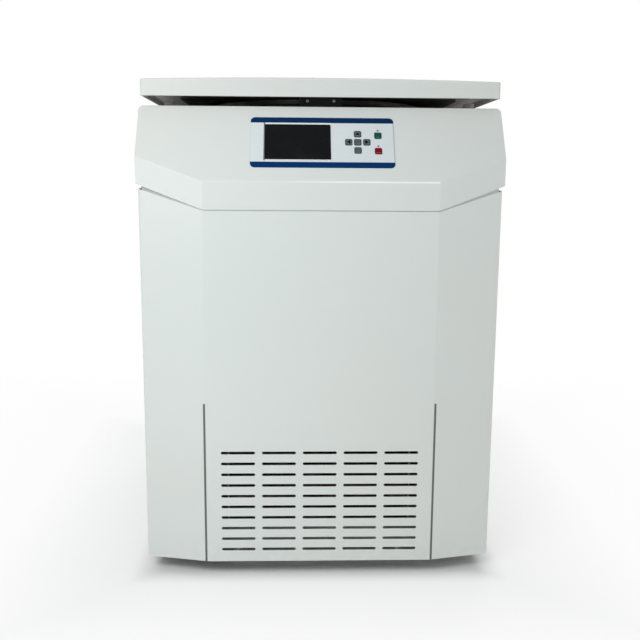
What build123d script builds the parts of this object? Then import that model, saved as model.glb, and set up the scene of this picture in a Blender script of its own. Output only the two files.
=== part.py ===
from build123d import *
import os
from math import atan2, cos, degrees, radians, sin, sqrt

# A floor-standing microplate centrifuge, in millimetres. X runs across the front, -Y is the
# front, and Z = 0 is the floor under the castors. The lid rests a little open.

os.makedirs("parts", exist_ok=True)

# ---------------------------------------------------------------- driving sizes
# Cabinet
body_width = 620
overall_depth = 720
skirt_clearance = 28
seam_height = 654
sheet = 1.5
seat_gap = 0.3
panel_gap = 0.6
fold_radius = 6
hem_width = 18

# Faceted front: a flat middle facet and two side facets that fall back
middle_facet_width = 398
facet_recede = 26
front_return = 34
front_seam_rise = 35

# Air slots in the middle facet
slot_columns, slot_rows = 5, 10
slot_pitch_x, slot_pitch_z = 72, 20
slot_length, slot_height = 60, 5
slot_lowest = 51

# Console: an upright band under a sloping face
header_overhang = 4
header_seam = 1.5
header_seam_rise = 43
band_height = 49
slope_rise = 126
slope_lean = 84
header_wall = 3
header_top_land = 40
header_corner_radius = 8

# Control overlay, display and keys, placed on the sloping face
overlay_width, overlay_height = 245, 101
overlay_x, overlay_up = 1.8, 77.8
overlay_thickness = 0.8
overlay_corner = 8
display_width, display_height = 114, 74
display_x, display_up = -40, 79
display_depth = 3
key_width, key_height = 12.2, 12.7
key_corner = 2.5
key_pitch_x, key_pitch_up = 15.4, 16.5
keypad_x, keypad_up = 62, 78.5
command_x, start_up, stop_up = 96.8, 92.2, 60.9
lamp_rise = 10.3
lamp_radius = 1.6
key_proud = 0.8
key_lip = 0.9
key_lip_thickness = 1.2
key_travel = 0.6
board_thickness = 1.6
board_depth = 6
board_margin = 4
board_component = 2.4

# Deck, bowl and its surroundings
deck_sheet = 2
deck_hem = 20
bowl_radius = 220
bowl_wall = 1.2
bowl_depth = 208
bowl_corner = 32
bowl_flange = 16
bowl_hem_gap = 0.4
bowl_cone_radius = 62
bowl_cone_rise = 20
bowl_cone_corner = 8
neck_clearance = 3
gasket_width, gasket_height, gasket_edge = 11, 6, 2
insulation_thickness = 26
insulation_floor = 18
guard_thickness = 8
guard_height = 184

# Lid
lid_ajar = 1.2
lid_side_inset = 2
lid_overhang = 21
lid_hinge_gap = 22
lid_apron = 28
lid_crown = 4
lid_wall = 1.5
lid_gap = 2.5
lid_corner = 4
lid_edge_radius = 2.5
hinge_inset_y = 34
hinge_axis_rise = 14
tray_recess = 10
liner_side_margin = 53
liner_striker_gap = 30
liner_rear_margin = 20
liner_corner = 60
plug_drop = 10
plug_clearance = 14
window_radius = 5
window_collar = 8
window_x = -16
buffer_radius = 10
buffer_side_inset, buffer_setback = 40, 26

# Lid hinges
hinge_inset_x = 110
hinge_width = 44
hinge_barrel_radius = 9
hinge_pin_radius = 5
hinge_ear = 5
hinge_leaf = 3
running = 0.05

# Lid lock
striker_setback = 18
striker_width, striker_depth = 76, 16
striker_drop = 23.5
striker_leg_x = 12
striker_loop_drop = 10
striker_bar_radius = 2.5
screw_head_x = 23
lock_slot_margin = 4
lock_cheek_x = 20
lock_sheet = 3
lock_wall_gap = 1
lock_flange = 3
lock_pivot_drop = 64
hook_width = 6
hook_nose = 4.5
hook_gap = 0.5
hook_open = 14
hook_pin_radius = 4

# Rotor
carrier_count = 4
pin_drop = 94
pivot_radius = 122
plate_length, plate_width = 127.8, 85.5
plate_play = 1
carrier_wall = 2.2
carrier_floor = 2.5
carrier_top_drop = 18
carrier_depth = 34
carrier_boss = 4
trunnion_radius = 6
trunnion_gap = 0.8
prong_width = 14
yoke_thickness = 24
yoke_arm_width = 26
hub_radius = 34
hub_below = 14
shaft_radius = 12
shaft_engagement = 60
nut_radius = 20
nut_height = 16

# Drive
motor_radius = 95
motor_height = 176
motor_neck_radius = 30
motor_flange_radius = 122
motor_flange = 8
damper_radius, damper_height = 16, 14
bridge_width = 220
bridge_thickness = 6
bridge_top = 384

# Base frame and refrigeration
pan_height = 88
pan_sheet = 3
pan_wall = 38
post_leg, post_sheet = 30, 3
pan_setback = 9
rear_post_margin = 4
post_head_gap = 0.7
condenser_width, condenser_height, condenser_depth = 330, 210, 34
condenser_front_gap = 2
condenser_fins, condenser_tubes = 22, 6
fan_radius, fan_ring = 98, 4
fan_hub_radius = 34
fan_gap = 4
fan_depth = 32
fan_blades = 5
compressor_radius, compressor_height = 72, 178
compressor_inset_x, compressor_inset_y = 160, 206
inverter_width, inverter_depth, inverter_height = 190, 150, 130
inverter_inset_x, inverter_inset_y = 150, 206
inverter_fins = 12

# Castors
wheel_radius, wheel_width = 30, 22
castor_trail = 24
castor_inset_x, castor_inset_y = 85, 98
castor_cheek = 3
castor_play = 1.5
castor_plate_x, castor_plate_y = 90, 80
castor_plate_sheet, crown_sheet, race_height = 3, 4, 7
axle_radius = 4
kingpin_radius = 6
race_radius = 20
foot_inset_x, foot_setback = 160, 88
foot_radius, foot_height = 18, 8
stem_radius, nut_across = 6, 20

# Rear services
inlet_inset_x, inlet_z = 95, 170
inlet_width, inlet_height = 48, 66
inlet_flange = 4
rocker_width, rocker_length = 19, 24
rocker_tilt = 8
drain_x, drain_inset_y = 110, 46
drain_radius, drain_bore, drain_length = 7, 5, 25
vent_inset_x, vent_z, upper_vent_z = 160, 210, 520
vent_columns, vent_rows = 3, 9
screw_head_radius, screw_head_height = 4, 2.2

# ---------------------------------------------------------------- derived places
half_body = body_width / 2
half_facet = middle_facet_width / 2
front_y = -overall_depth / 2
rear_y = overall_depth / 2 - inlet_flange
side_inner = half_body - sheet
frame_half = side_inner - seat_gap
side_rear_y = rear_y - sheet - seat_gap
recede_slope = facet_recede / (half_body - half_facet)
band_top = seam_height + band_height
deck_z = band_top + slope_rise
header_half = half_body + header_overhang
header_top_y = front_y + slope_lean
header_rear_y = header_top_y + header_top_land
return_y = front_y + facet_recede + front_return
outer_seam_z = seam_height + front_seam_rise
slope_angle = degrees(atan2(slope_lean, slope_rise))
pan_front_y = front_y + facet_recede + pan_setback
front_post_y = header_rear_y - post_leg
castor_x = half_body - castor_inset_x
castor_y = overall_depth / 2 - castor_inset_y
foot_x, foot_y = half_body - foot_inset_x, front_y + foot_setback
inlet_x = inlet_inset_x - half_body
drain_y = rear_y - drain_inset_y
vent_x = half_body - vent_inset_x
compressor_x, compressor_y = compressor_inset_x - half_body, rear_y - compressor_inset_y
inverter_x, inverter_y = half_body - inverter_inset_x, rear_y - inverter_inset_y

# The lock stands behind the striker, and the bowl's guard stands behind the deck's front hem.
striker_y = header_top_y + striker_setback
lock_rear_y = striker_y + striker_depth / 2 + lock_slot_margin + lock_wall_gap
lock_flange_y = lock_rear_y + lock_sheet + lock_flange
bowl_outer = bowl_radius + bowl_wall
insulation_inner = bowl_outer + seat_gap
insulation_outer = insulation_inner + insulation_thickness
guard_inner = insulation_outer + seat_gap
deck_front_y = header_rear_y + panel_gap
bowl_centre_y = deck_front_y + deck_sheet + bowl_hem_gap + guard_inner + guard_thickness

# The sloping face: x across, y up the slope, z out of it.
console = Plane(
    origin=(0, front_y, band_top),
    x_dir=(1, 0, 0),
    z_dir=(0, -cos(radians(slope_angle)), sin(radians(slope_angle))),
)

# The lid's own frame: x along the hinge axis, y towards the rear, z up through the lid.
hinge_axis_y = rear_y - hinge_inset_y
hinge_z = deck_z + hinge_axis_rise
hinge_x = half_body - hinge_inset_x
lid_frame = Plane(
    origin=(0, hinge_axis_y, hinge_z),
    x_dir=(1, 0, 0),
    z_dir=(0, sin(radians(lid_ajar)), cos(radians(lid_ajar))),
)
apron_bottom = lid_gap - hinge_axis_rise
lid_shoulder = apron_bottom + lid_apron
lid_top = lid_shoulder + lid_crown
lid_width = body_width - 2 * lid_side_inset
lid_front = header_top_y - lid_overhang - hinge_axis_y
lid_rear = -lid_hinge_gap
striker_in_lid = striker_y - hinge_axis_y
liner_front = striker_in_lid + striker_depth / 2 + liner_striker_gap
liner_rear = lid_rear - liner_rear_margin
buffer_x, buffer_y = half_body - buffer_side_inset, header_rear_y + buffer_setback
tray_under = apron_bottom + tray_recess
bowl_in_lid = bowl_centre_y - hinge_axis_y
gasket_top = deck_z + bowl_wall + gasket_height
liner_under = gasket_top + seat_gap - hinge_z
bowl_axis = Axis((0, bowl_centre_y, 0), (0, 0, 1))
pin_z = deck_z - pin_drop
bowl_floor_z = deck_z - bowl_depth


def level(height):
    """A plane parallel to the lid, at a height over the hinge axis."""
    return lid_frame.offset(height)


def bowl_level(height):
    """A level plane at a height over the floor, centred on the bowl."""
    return Plane((0, bowl_centre_y, height))


def arm_frame(turn):
    """The rotor's frame turned about its shaft: x points out along one carrier's arm."""
    outward = (cos(radians(turn)), sin(radians(turn)), 0)
    return Plane((0, bowl_centre_y, 0), outward, (0, 0, 1))


def across(y):
    """A plane in the lid's frame that faces the front, at y from the hinge axis."""
    return Plane(lid_frame.from_local_coords((0, y, 0)), lid_frame.x_dir, -lid_frame.y_dir)


def lengthwise(x):
    """A plane in the lid's frame that faces +X."""
    return Plane(lid_frame.from_local_coords((x, 0, 0)), lid_frame.y_dir, lid_frame.x_dir)


# ---------------------------------------------------------------- cabinet shell
with BuildPart() as front_panel:
    with BuildSketch(Plane.XY.offset(skirt_clearance)):
        with BuildLine():
            FilletPolyline(
                (-half_body, return_y),
                (-half_body, front_y + facet_recede),
                (-half_facet, front_y),
                (half_facet, front_y),
                (half_body, front_y + facet_recede),
                (half_body, return_y),
                radius=fold_radius,
            )
            offset(amount=-sheet, side=Side.LEFT)
        make_face()
    extrude(amount=outer_seam_z - skirt_clearance)
    with BuildSketch(Plane.XY.offset(skirt_clearance)):
        with BuildLine():
            Polyline(
                (-side_inner, return_y),
                (-side_inner, front_y + facet_recede),
                (-half_facet, front_y + sheet),
                (half_facet, front_y + sheet),
                (side_inner, front_y + facet_recede),
                (side_inner, return_y),
            )
            offset(amount=-hem_width, side=Side.LEFT)
        make_face()
    extrude(amount=sheet)
    with BuildSketch(Plane.XZ.offset(-front_y)):
        with BuildLine():
            Polyline(
                (-half_body - 1, outer_seam_z + 1),
                (-half_body, outer_seam_z),
                (-half_facet, seam_height),
                (half_facet, seam_height),
                (half_body, outer_seam_z),
                (half_body + 1, outer_seam_z + 1),
                close=True,
            )
        make_face()
    extrude(amount=-(facet_recede + front_return), mode=Mode.SUBTRACT)
    with BuildSketch(Plane.XZ.offset(-front_y)):
        grille_middle = slot_lowest + (slot_rows - 1) * slot_pitch_z / 2
        with Locations((0, grille_middle)):
            with GridLocations(slot_pitch_x, slot_pitch_z, slot_columns, slot_rows):
                SlotOverall(slot_length, slot_height)
    extrude(amount=-sheet, mode=Mode.SUBTRACT)
front_panel.part.label = "front_panel"
export_step(front_panel.part, "parts/front_panel.step")

header_gap_z = outer_seam_z + header_seam_rise - front_seam_rise
side_front_y = return_y + panel_gap
side_notch_z = header_gap_z - panel_gap


def folded_side(direction):
    """One side panel: a flat sheet with hems folded in at its front, rear and lower edges."""
    with BuildPart() as panel:
        with BuildSketch(Plane.YZ.offset(direction * side_inner)):
            with BuildLine():
                Polyline(
                    (side_front_y, skirt_clearance),
                    (side_rear_y, skirt_clearance),
                    (side_rear_y, deck_z),
                    (header_rear_y + panel_gap, deck_z),
                    (header_rear_y + panel_gap, side_notch_z),
                    (side_front_y, side_notch_z),
                    close=True,
                )
            make_face()
        extrude(amount=direction * sheet)
        outer = panel.edges().filter_by(Axis.Y).group_by(Axis.X)[-1 if direction > 0 else 0]
        fillet(outer.group_by(Axis.Z)[0], sheet * 0.6)
        hem_middle = direction * (side_inner - hem_width / 2)
        front_hem = (side_front_y + sheet / 2, pan_height + pan_sheet + seat_gap, side_notch_z)
        rear_hem = (side_rear_y - sheet / 2, skirt_clearance, deck_z - deck_hem - seat_gap)
        for edge_y, foot, top in (front_hem, rear_hem):
            with BuildSketch(Plane.XY.offset(foot)):
                with Locations((hem_middle, edge_y)):
                    Rectangle(hem_width, sheet)
            extrude(amount=top - foot)
        with BuildSketch(Plane.XY.offset(skirt_clearance)):
            with Locations((hem_middle, (side_front_y + side_rear_y) / 2)):
                Rectangle(hem_width, side_rear_y - side_front_y)
        extrude(amount=sheet)
    return panel.part


left_side_panel = folded_side(-1)
left_side_panel.label = "left_side_panel"
export_step(left_side_panel, "parts/left_side_panel.step")

right_side_panel = folded_side(1)
right_side_panel.label = "right_side_panel"
export_step(right_side_panel, "parts/right_side_panel.step")

with BuildPart() as rear_panel:
    with BuildSketch(Plane.XZ.offset(-rear_y)):
        with Locations((0, (skirt_clearance + deck_z) / 2)):
            Rectangle(body_width, deck_z - skirt_clearance)
        with Locations((inlet_x, inlet_z)):
            Rectangle(inlet_width - 8, inlet_height - 8, mode=Mode.SUBTRACT)
        for centre in ((vent_x, vent_z), (-vent_x, upper_vent_z), (vent_x, upper_vent_z)):
            with Locations(centre):
                with GridLocations(slot_pitch_x, slot_pitch_z, vent_columns, vent_rows):
                    Rectangle(slot_length, slot_height, mode=Mode.SUBTRACT)
    extrude(amount=sheet)
rear_panel.part.label = "rear_panel"
export_step(rear_panel.part, "parts/rear_panel.step")


# ---------------------------------------------------------------- console
def header_form(inset):
    """The console's solid form, drawn in from its faces by an inset and open at the rear."""
    half = header_half - inset
    side_y = front_y + recede_slope * (header_half - half_facet)
    with BuildPart() as form:
        with BuildSketch(Plane.XY.offset(seam_height)):
            with BuildLine():
                Polyline(
                    (-half, header_rear_y + inset),
                    (-half, side_y + inset),
                    (-half_facet, front_y + inset),
                    (half_facet, front_y + inset),
                    (half, side_y + inset),
                    (half, header_rear_y + inset),
                    close=True,
                )
            make_face()
        extrude(amount=deck_z - inset - seam_height)
        split(bisect_by=console.offset(-inset), keep=Keep.BOTTOM)
        top_sides = form.edges().filter_by(Axis.Y).group_by(Axis.Z)[-1]
        fillet(top_sides, header_corner_radius - inset)
    return form.part


header_core = header_form(header_wall)

with BuildPart() as control_header:
    add(header_form(0))
    front_edges = control_header.edges().filter_by(Axis.X).group_by(Axis.Y)[0]
    fillet(front_edges.sort_by(Axis.Z)[-1], 2)
    add(header_core, mode=Mode.SUBTRACT)
    with BuildSketch(Plane.XZ.offset(-front_y)):
        with BuildLine():
            Polyline(
                (-header_half - 1, seam_height - 1),
                (-header_half - 1, header_gap_z),
                (-header_half, header_gap_z),
                (-half_facet, seam_height + header_seam),
                (half_facet, seam_height + header_seam),
                (header_half, header_gap_z),
                (header_half + 1, header_gap_z),
                (header_half + 1, seam_height - 1),
                close=True,
            )
        make_face()
    extrude(amount=-(slope_lean + header_top_land + 1), mode=Mode.SUBTRACT)
    with BuildSketch(console):
        with Locations((display_x, display_up)):
            Rectangle(display_width + 2 * seat_gap, display_height + 2 * seat_gap)
        with Locations(((keypad_x + command_x) / 2, keypad_up)):
            RectangleRounded(
                command_x - keypad_x + 2 * key_pitch_x + key_width + 6,
                2 * key_pitch_up + key_height + 12,
                key_corner,
            )
    extrude(amount=-header_wall, mode=Mode.SUBTRACT)
    with BuildSketch(Plane.XY.offset(deck_z)):
        with Locations((0, striker_y)):
            RectangleRounded(
                striker_width + 2 * lock_slot_margin,
                striker_depth + 2 * lock_slot_margin,
                lock_slot_margin,
            )
    extrude(amount=-header_wall, mode=Mode.SUBTRACT)
control_header.part.label = "control_header"
export_step(control_header.part, "parts/control_header.step")

key_places = {
    "key_up": (keypad_x, keypad_up + key_pitch_up),
    "key_down": (keypad_x, keypad_up - key_pitch_up),
    "key_left": (keypad_x - key_pitch_x, keypad_up),
    "key_right": (keypad_x + key_pitch_x, keypad_up),
    "key_enter": (keypad_x, keypad_up),
    "key_start": (command_x, start_up),
    "key_stop": (command_x, stop_up),
}
lamp_places = [(command_x, start_up + lamp_rise), (command_x, stop_up + lamp_rise)]

with BuildPart() as control_overlay:
    with BuildSketch(console):
        with Locations((overlay_x, overlay_up)):
            RectangleRounded(overlay_width, overlay_height, overlay_corner)
        with Locations((display_x, display_up)):
            Rectangle(display_width + seat_gap, display_height + seat_gap, mode=Mode.SUBTRACT)
        with Locations(*key_places.values()):
            RectangleRounded(
                key_width + 2 * seat_gap,
                key_height + 2 * seat_gap,
                key_corner + seat_gap,
                mode=Mode.SUBTRACT,
            )
        with Locations(*lamp_places):
            Circle(lamp_radius + seat_gap / 2, mode=Mode.SUBTRACT)
    extrude(amount=overlay_thickness)
control_overlay.part.label = "control_overlay"
export_step(control_overlay.part, "parts/control_overlay.step")

with BuildPart() as display_screen:
    with BuildSketch(console.offset(overlay_thickness)):
        with Locations((display_x, display_up)):
            Rectangle(display_width, display_height)
    extrude(amount=-display_depth)
    chamfer(display_screen.faces().sort_by(Axis((0, 0, 0), console.z_dir))[-1].edges(), 0.4)
display_screen.part.label = "display_screen"
export_step(display_screen.part, "parts/display_screen.step")

for name, place in key_places.items():
    with BuildPart() as key:
        with BuildSketch(console.offset(-key_lip_thickness)):
            with Locations(place):
                RectangleRounded(key_width, key_height, key_corner)
        extrude(amount=key_lip_thickness + overlay_thickness + key_proud)
        fillet(key.faces().sort_by(Axis((0, 0, 0), console.z_dir))[-1].edges(), 0.5)
        with BuildSketch(console.offset(-seat_gap)):
            with Locations(place):
                RectangleRounded(
                    key_width + 2 * key_lip, key_height + 2 * key_lip, key_corner + key_lip
                )
        extrude(amount=-key_lip_thickness)
    key.part.label = name
    export_step(key.part, f"parts/{name}.step")

board_width = overlay_width - 2 * board_margin
board_height = overlay_height - 2 * board_margin
switch_top = seat_gap + key_lip_thickness + key_travel + 0.1
with BuildPart() as control_board:
    with BuildSketch(console.offset(-board_depth)):
        with Locations((overlay_x, overlay_up)):
            RectangleRounded(board_width, board_height, 3)
    extrude(amount=-board_thickness)
    with BuildSketch(console.offset(-board_depth)):
        with Locations((overlay_x, overlay_up)):
            with GridLocations(board_width - 8, board_height - 8, 2, 2):
                Circle(3)
    extrude(amount=board_depth - header_wall)
    with BuildSketch(console.offset(-board_depth)):
        with Locations(*key_places.values()):
            Circle(3)
    extrude(amount=board_depth - switch_top)
    with BuildSketch(console.offset(-board_depth)):
        with Locations((display_x, display_up)):
            Rectangle(display_width - 6, display_height - 6)
    extrude(amount=board_depth - display_depth + overlay_thickness)
    with BuildSketch(console.offset(-board_depth)):
        with Locations(*lamp_places):
            Circle(lamp_radius)
    extrude(amount=board_depth + overlay_thickness)
    with BuildSketch(console.offset(-board_depth - board_thickness)):
        with Locations((overlay_x, overlay_up)):
            with GridLocations(board_width / 4, board_height / 2, 3, 2):
                Rectangle(board_width / 9, board_height / 5)
    extrude(amount=-board_component)
control_board.part.label = "control_board"
export_step(control_board.part, "parts/control_board.step")

# ---------------------------------------------------------------- deck, bowl and guard
with BuildPart() as top_deck:
    deck_middle_y = (deck_front_y + side_rear_y) / 2
    with BuildSketch(Plane.XY.offset(deck_z - deck_sheet)):
        with Locations((0, deck_middle_y)):
            Rectangle(2 * frame_half, side_rear_y - deck_front_y)
        with Locations((0, bowl_centre_y)):
            Circle(bowl_outer + seat_gap, mode=Mode.SUBTRACT)
    extrude(amount=deck_sheet)
    with BuildSketch(Plane.XY.offset(deck_z - deck_hem)):
        with Locations((0, deck_middle_y)):
            Rectangle(2 * frame_half, side_rear_y - deck_front_y)
            Rectangle(
                2 * (frame_half - deck_sheet),
                side_rear_y - deck_front_y - 2 * deck_sheet,
                mode=Mode.SUBTRACT,
            )
    extrude(amount=deck_hem - deck_sheet)
top_deck.part.label = "top_deck"
export_step(top_deck.part, "parts/top_deck.step")

with BuildPart() as chamber_liner:
    with BuildSketch(Plane.XZ.offset(-bowl_centre_y)):
        with BuildLine():
            rim = (bowl_radius, deck_z + bowl_wall)
            bore = motor_neck_radius + neck_clearance
            FilletPolyline(
                rim,
                (bowl_radius, bowl_floor_z),
                (bowl_cone_radius, bowl_floor_z),
                (bore, bowl_floor_z + bowl_cone_rise),
                radius=(bowl_corner, bowl_cone_corner),
            )
            offset(amount=bowl_wall, side=Side.LEFT)
        make_face()
        with BuildLine():
            Polyline(
                (bowl_radius, deck_z),
                (bowl_outer + bowl_flange, deck_z),
                (bowl_outer + bowl_flange, deck_z + bowl_wall),
                (bowl_radius, deck_z + bowl_wall),
                close=True,
            )
        make_face()
    revolve(axis=bowl_axis)
chamber_liner.part.label = "chamber_liner"
export_step(chamber_liner.part, "parts/chamber_liner.step")

with BuildPart() as chamber_gasket:
    with BuildSketch(Plane.XZ.offset(-bowl_centre_y)):
        gasket_x = bowl_outer + bowl_flange / 2
        with Locations((gasket_x, deck_z + bowl_wall + gasket_height / 2)):
            Rectangle(gasket_width, gasket_height)
        fillet(vertices().group_by(Axis.Y)[-1], gasket_edge)
    revolve(axis=bowl_axis)
chamber_gasket.part.label = "chamber_gasket"
export_step(chamber_gasket.part, "parts/chamber_gasket.step")

insulation_top = deck_z - deck_sheet
liner_under_z = bowl_floor_z - bowl_wall
with BuildPart() as chamber_insulation:
    with BuildSketch(Plane.XZ.offset(-bowl_centre_y)):
        with BuildLine():
            FilletPolyline(
                (insulation_inner, insulation_top),
                (insulation_inner, liner_under_z - seat_gap),
                (bowl_cone_radius, liner_under_z - seat_gap),
                (bowl_cone_radius, liner_under_z - insulation_floor),
                (insulation_outer, liner_under_z - insulation_floor),
                (insulation_outer, insulation_top),
                radius=(bowl_corner, 1, 1, 4),
                close=False,
            )
            Line((insulation_outer, insulation_top), (insulation_inner, insulation_top))
        make_face()
    revolve(axis=bowl_axis)
chamber_insulation.part.label = "chamber_insulation"
export_step(chamber_insulation.part, "parts/chamber_insulation.step")

with BuildPart() as guard_ring:
    with BuildSketch(bowl_level(insulation_top - guard_height)):
        Circle(guard_inner + guard_thickness)
        Circle(guard_inner, mode=Mode.SUBTRACT)
    extrude(amount=guard_height)
guard_ring.part.label = "guard_ring"
export_step(guard_ring.part, "parts/guard_ring.step")

with BuildPart() as lid_buffers:
    with BuildSketch(Plane.XZ.offset(-buffer_y)):
        buffer_height = hinge_z + tray_under - seat_gap - deck_z
        with BuildLine():
            FilletPolyline(
                (buffer_x, deck_z),
                (buffer_x + buffer_radius, deck_z),
                (buffer_x + buffer_radius, deck_z + buffer_height),
                (buffer_x, deck_z + buffer_height),
                radius=(0.01, 3),
            )
            Line((buffer_x, deck_z + buffer_height), (buffer_x, deck_z))
        make_face()
    revolve(axis=Axis((buffer_x, buffer_y, 0), (0, 0, 1)))
    mirror(about=Plane.YZ)
lid_buffers.part.label = "lid_buffers"
export_step(lid_buffers.part, "parts/lid_buffers.step")

# ---------------------------------------------------------------- lid
with BuildPart() as lid_cover:
    with BuildSketch(across(lid_rear)):
        with BuildLine():
            Polyline(
                (-lid_width / 2, lid_shoulder),
                (-lid_width / 2, apron_bottom),
                (lid_width / 2, apron_bottom),
                (lid_width / 2, lid_shoulder),
            )
            ThreePointArc(
                (lid_width / 2, lid_shoulder), (0, lid_top), (-lid_width / 2, lid_shoulder)
            )
        make_face()
    extrude(amount=lid_rear - lid_front)
    upright = Axis((0, 0, 0), lid_frame.z_dir)
    fillet(lid_cover.edges().filter_by(upright), lid_corner)
    fillet(lid_cover.faces().sort_by(upright)[-1].edges(), lid_edge_radius)
    offset(amount=-lid_wall, openings=lid_cover.faces().sort_by(upright)[0])
    with BuildSketch(level(lid_top)):
        with Locations((window_x, bowl_in_lid)):
            Circle(window_radius + seat_gap)
    extrude(amount=-lid_apron, mode=Mode.SUBTRACT)
lid_cover.part.label = "lid_cover"
export_step(lid_cover.part, "parts/lid_cover.step")

tray_inset = lid_wall + seat_gap
tray_width = lid_width - 2 * tray_inset
tray_length = lid_rear - lid_front - 2 * tray_inset
with BuildPart() as lid_tray:
    lid_middle = (lid_rear + lid_front) / 2
    with BuildSketch(level(tray_under)):
        with Locations((0, lid_middle)):
            RectangleRounded(tray_width, tray_length, lid_corner - tray_inset)
    extrude(amount=sheet)
    with BuildSketch(level(tray_under + sheet)):
        with Locations((0, lid_middle)):
            RectangleRounded(tray_width, tray_length, lid_corner - tray_inset)
            RectangleRounded(
                tray_width - 2 * sheet,
                tray_length - 2 * sheet,
                lid_corner - tray_inset - sheet,
                mode=Mode.SUBTRACT,
            )
    extrude(amount=lid_shoulder - lid_edge_radius - tray_under - sheet)
    with BuildSketch(level(tray_under)):
        with Locations((window_x, bowl_in_lid)):
            Circle(window_radius + seat_gap)
    extrude(amount=sheet, mode=Mode.SUBTRACT)
lid_tray.part.label = "lid_tray"
export_step(lid_tray.part, "parts/lid_tray.step")

plug_radius = bowl_radius - plug_clearance
with BuildPart() as lid_liner:
    with BuildSketch(level(tray_under)):
        with Locations((0, (liner_front + liner_rear) / 2)):
            RectangleRounded(
                lid_width - 2 * liner_side_margin, liner_rear - liner_front, liner_corner
            )
    extrude(amount=liner_under - tray_under)
    with BuildSketch(level(liner_under)):
        with Locations((0, bowl_in_lid)):
            Circle(plug_radius)
    extrude(amount=-plug_drop, taper=8)
    fillet(lid_liner.faces().sort_by(upright)[0].edges(), 3)
    with BuildSketch(level(tray_under)):
        with Locations((window_x, bowl_in_lid)):
            Circle(window_radius + seat_gap)
    extrude(amount=liner_under - tray_under - plug_drop, mode=Mode.SUBTRACT)
lid_liner.part.label = "lid_liner"
export_step(lid_liner.part, "parts/lid_liner.step")

with BuildPart() as lid_window:
    with BuildSketch(level(liner_under - plug_drop)):
        with Locations((window_x, bowl_in_lid)):
            Circle(window_radius)
    extrude(amount=lid_top - liner_under + plug_drop)
    with BuildSketch(level(lid_top)):
        with Locations((window_x, bowl_in_lid)):
            Circle(window_collar / 2 + window_radius / 2)
    extrude(amount=1.2, taper=20)
lid_window.part.label = "lid_window"
export_step(lid_window.part, "parts/lid_window.step")

striker_under = tray_under - striker_drop
with BuildPart() as lid_striker:
    with BuildSketch(level(tray_under)):
        with Locations((0, striker_in_lid)):
            RectangleRounded(striker_width, striker_depth, 3)
    extrude(amount=-striker_drop)
    with BuildSketch(level(striker_under)):
        with Locations((0, striker_in_lid)):
            with GridLocations(2 * striker_leg_x, 0, 2, 1):
                Rectangle(lock_sheet, 2 * striker_bar_radius)
    extrude(amount=-striker_loop_drop)
    with BuildSketch(lengthwise(-striker_leg_x - lock_sheet / 2)):
        with Locations((striker_in_lid, striker_under - striker_loop_drop)):
            Circle(striker_bar_radius)
    extrude(amount=2 * striker_leg_x + lock_sheet)
    with BuildSketch(across(striker_in_lid - striker_depth / 2)):
        with Locations((0, tray_under - 0.6 * striker_drop)):
            with GridLocations(2 * screw_head_x, 0, 2, 1):
                Circle(screw_head_radius)
    extrude(amount=screw_head_height / 2, taper=20)
lid_striker.part.label = "lid_striker"
export_step(lid_striker.part, "parts/lid_striker.step")

with BuildPart() as hinge_leaves:
    for x in (-hinge_x, hinge_x):
        with BuildSketch(lengthwise(x - hinge_width / 2)):
            with Locations((lid_rear + hinge_leaf / 2, lid_shoulder / 2 + apron_bottom / 2 + 1)):
                Rectangle(hinge_leaf, lid_apron - 8)
            with Locations((lid_rear / 2, 0)):
                Rectangle(-lid_rear, hinge_ear)
            Circle(hinge_barrel_radius)
            Circle(hinge_pin_radius + running, mode=Mode.SUBTRACT)
        extrude(amount=hinge_width)
hinge_leaves.part.label = "hinge_leaves"
export_step(hinge_leaves.part, "parts/hinge_leaves.step")

ear_inner = hinge_width / 2 + seat_gap
with BuildPart() as hinge_brackets:
    for x in (-hinge_x, hinge_x):
        with BuildSketch(Plane.XY.offset(deck_z)):
            with Locations((x, hinge_axis_y)):
                RectangleRounded(2 * (ear_inner + hinge_ear) + 24, 4 * hinge_barrel_radius, 4)
        extrude(amount=hinge_leaf)
        for side in (-1, 1):
            with BuildSketch(Plane.YZ.offset(x + side * (ear_inner + hinge_ear / 2))):
                with Locations((hinge_axis_y, hinge_z)):
                    Circle(hinge_barrel_radius)
                with Locations((hinge_axis_y, (deck_z + hinge_z) / 2)):
                    Rectangle(2 * hinge_barrel_radius, hinge_axis_rise)
            extrude(amount=hinge_ear / 2, both=True)
        with BuildSketch(Plane.YZ.offset(x - ear_inner - hinge_ear)):
            with Locations((hinge_axis_y, hinge_z)):
                Circle(hinge_pin_radius)
        extrude(amount=2 * (ear_inner + hinge_ear))
hinge_brackets.part.label = "hinge_brackets"
export_step(hinge_brackets.part, "parts/hinge_brackets.step")

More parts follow.
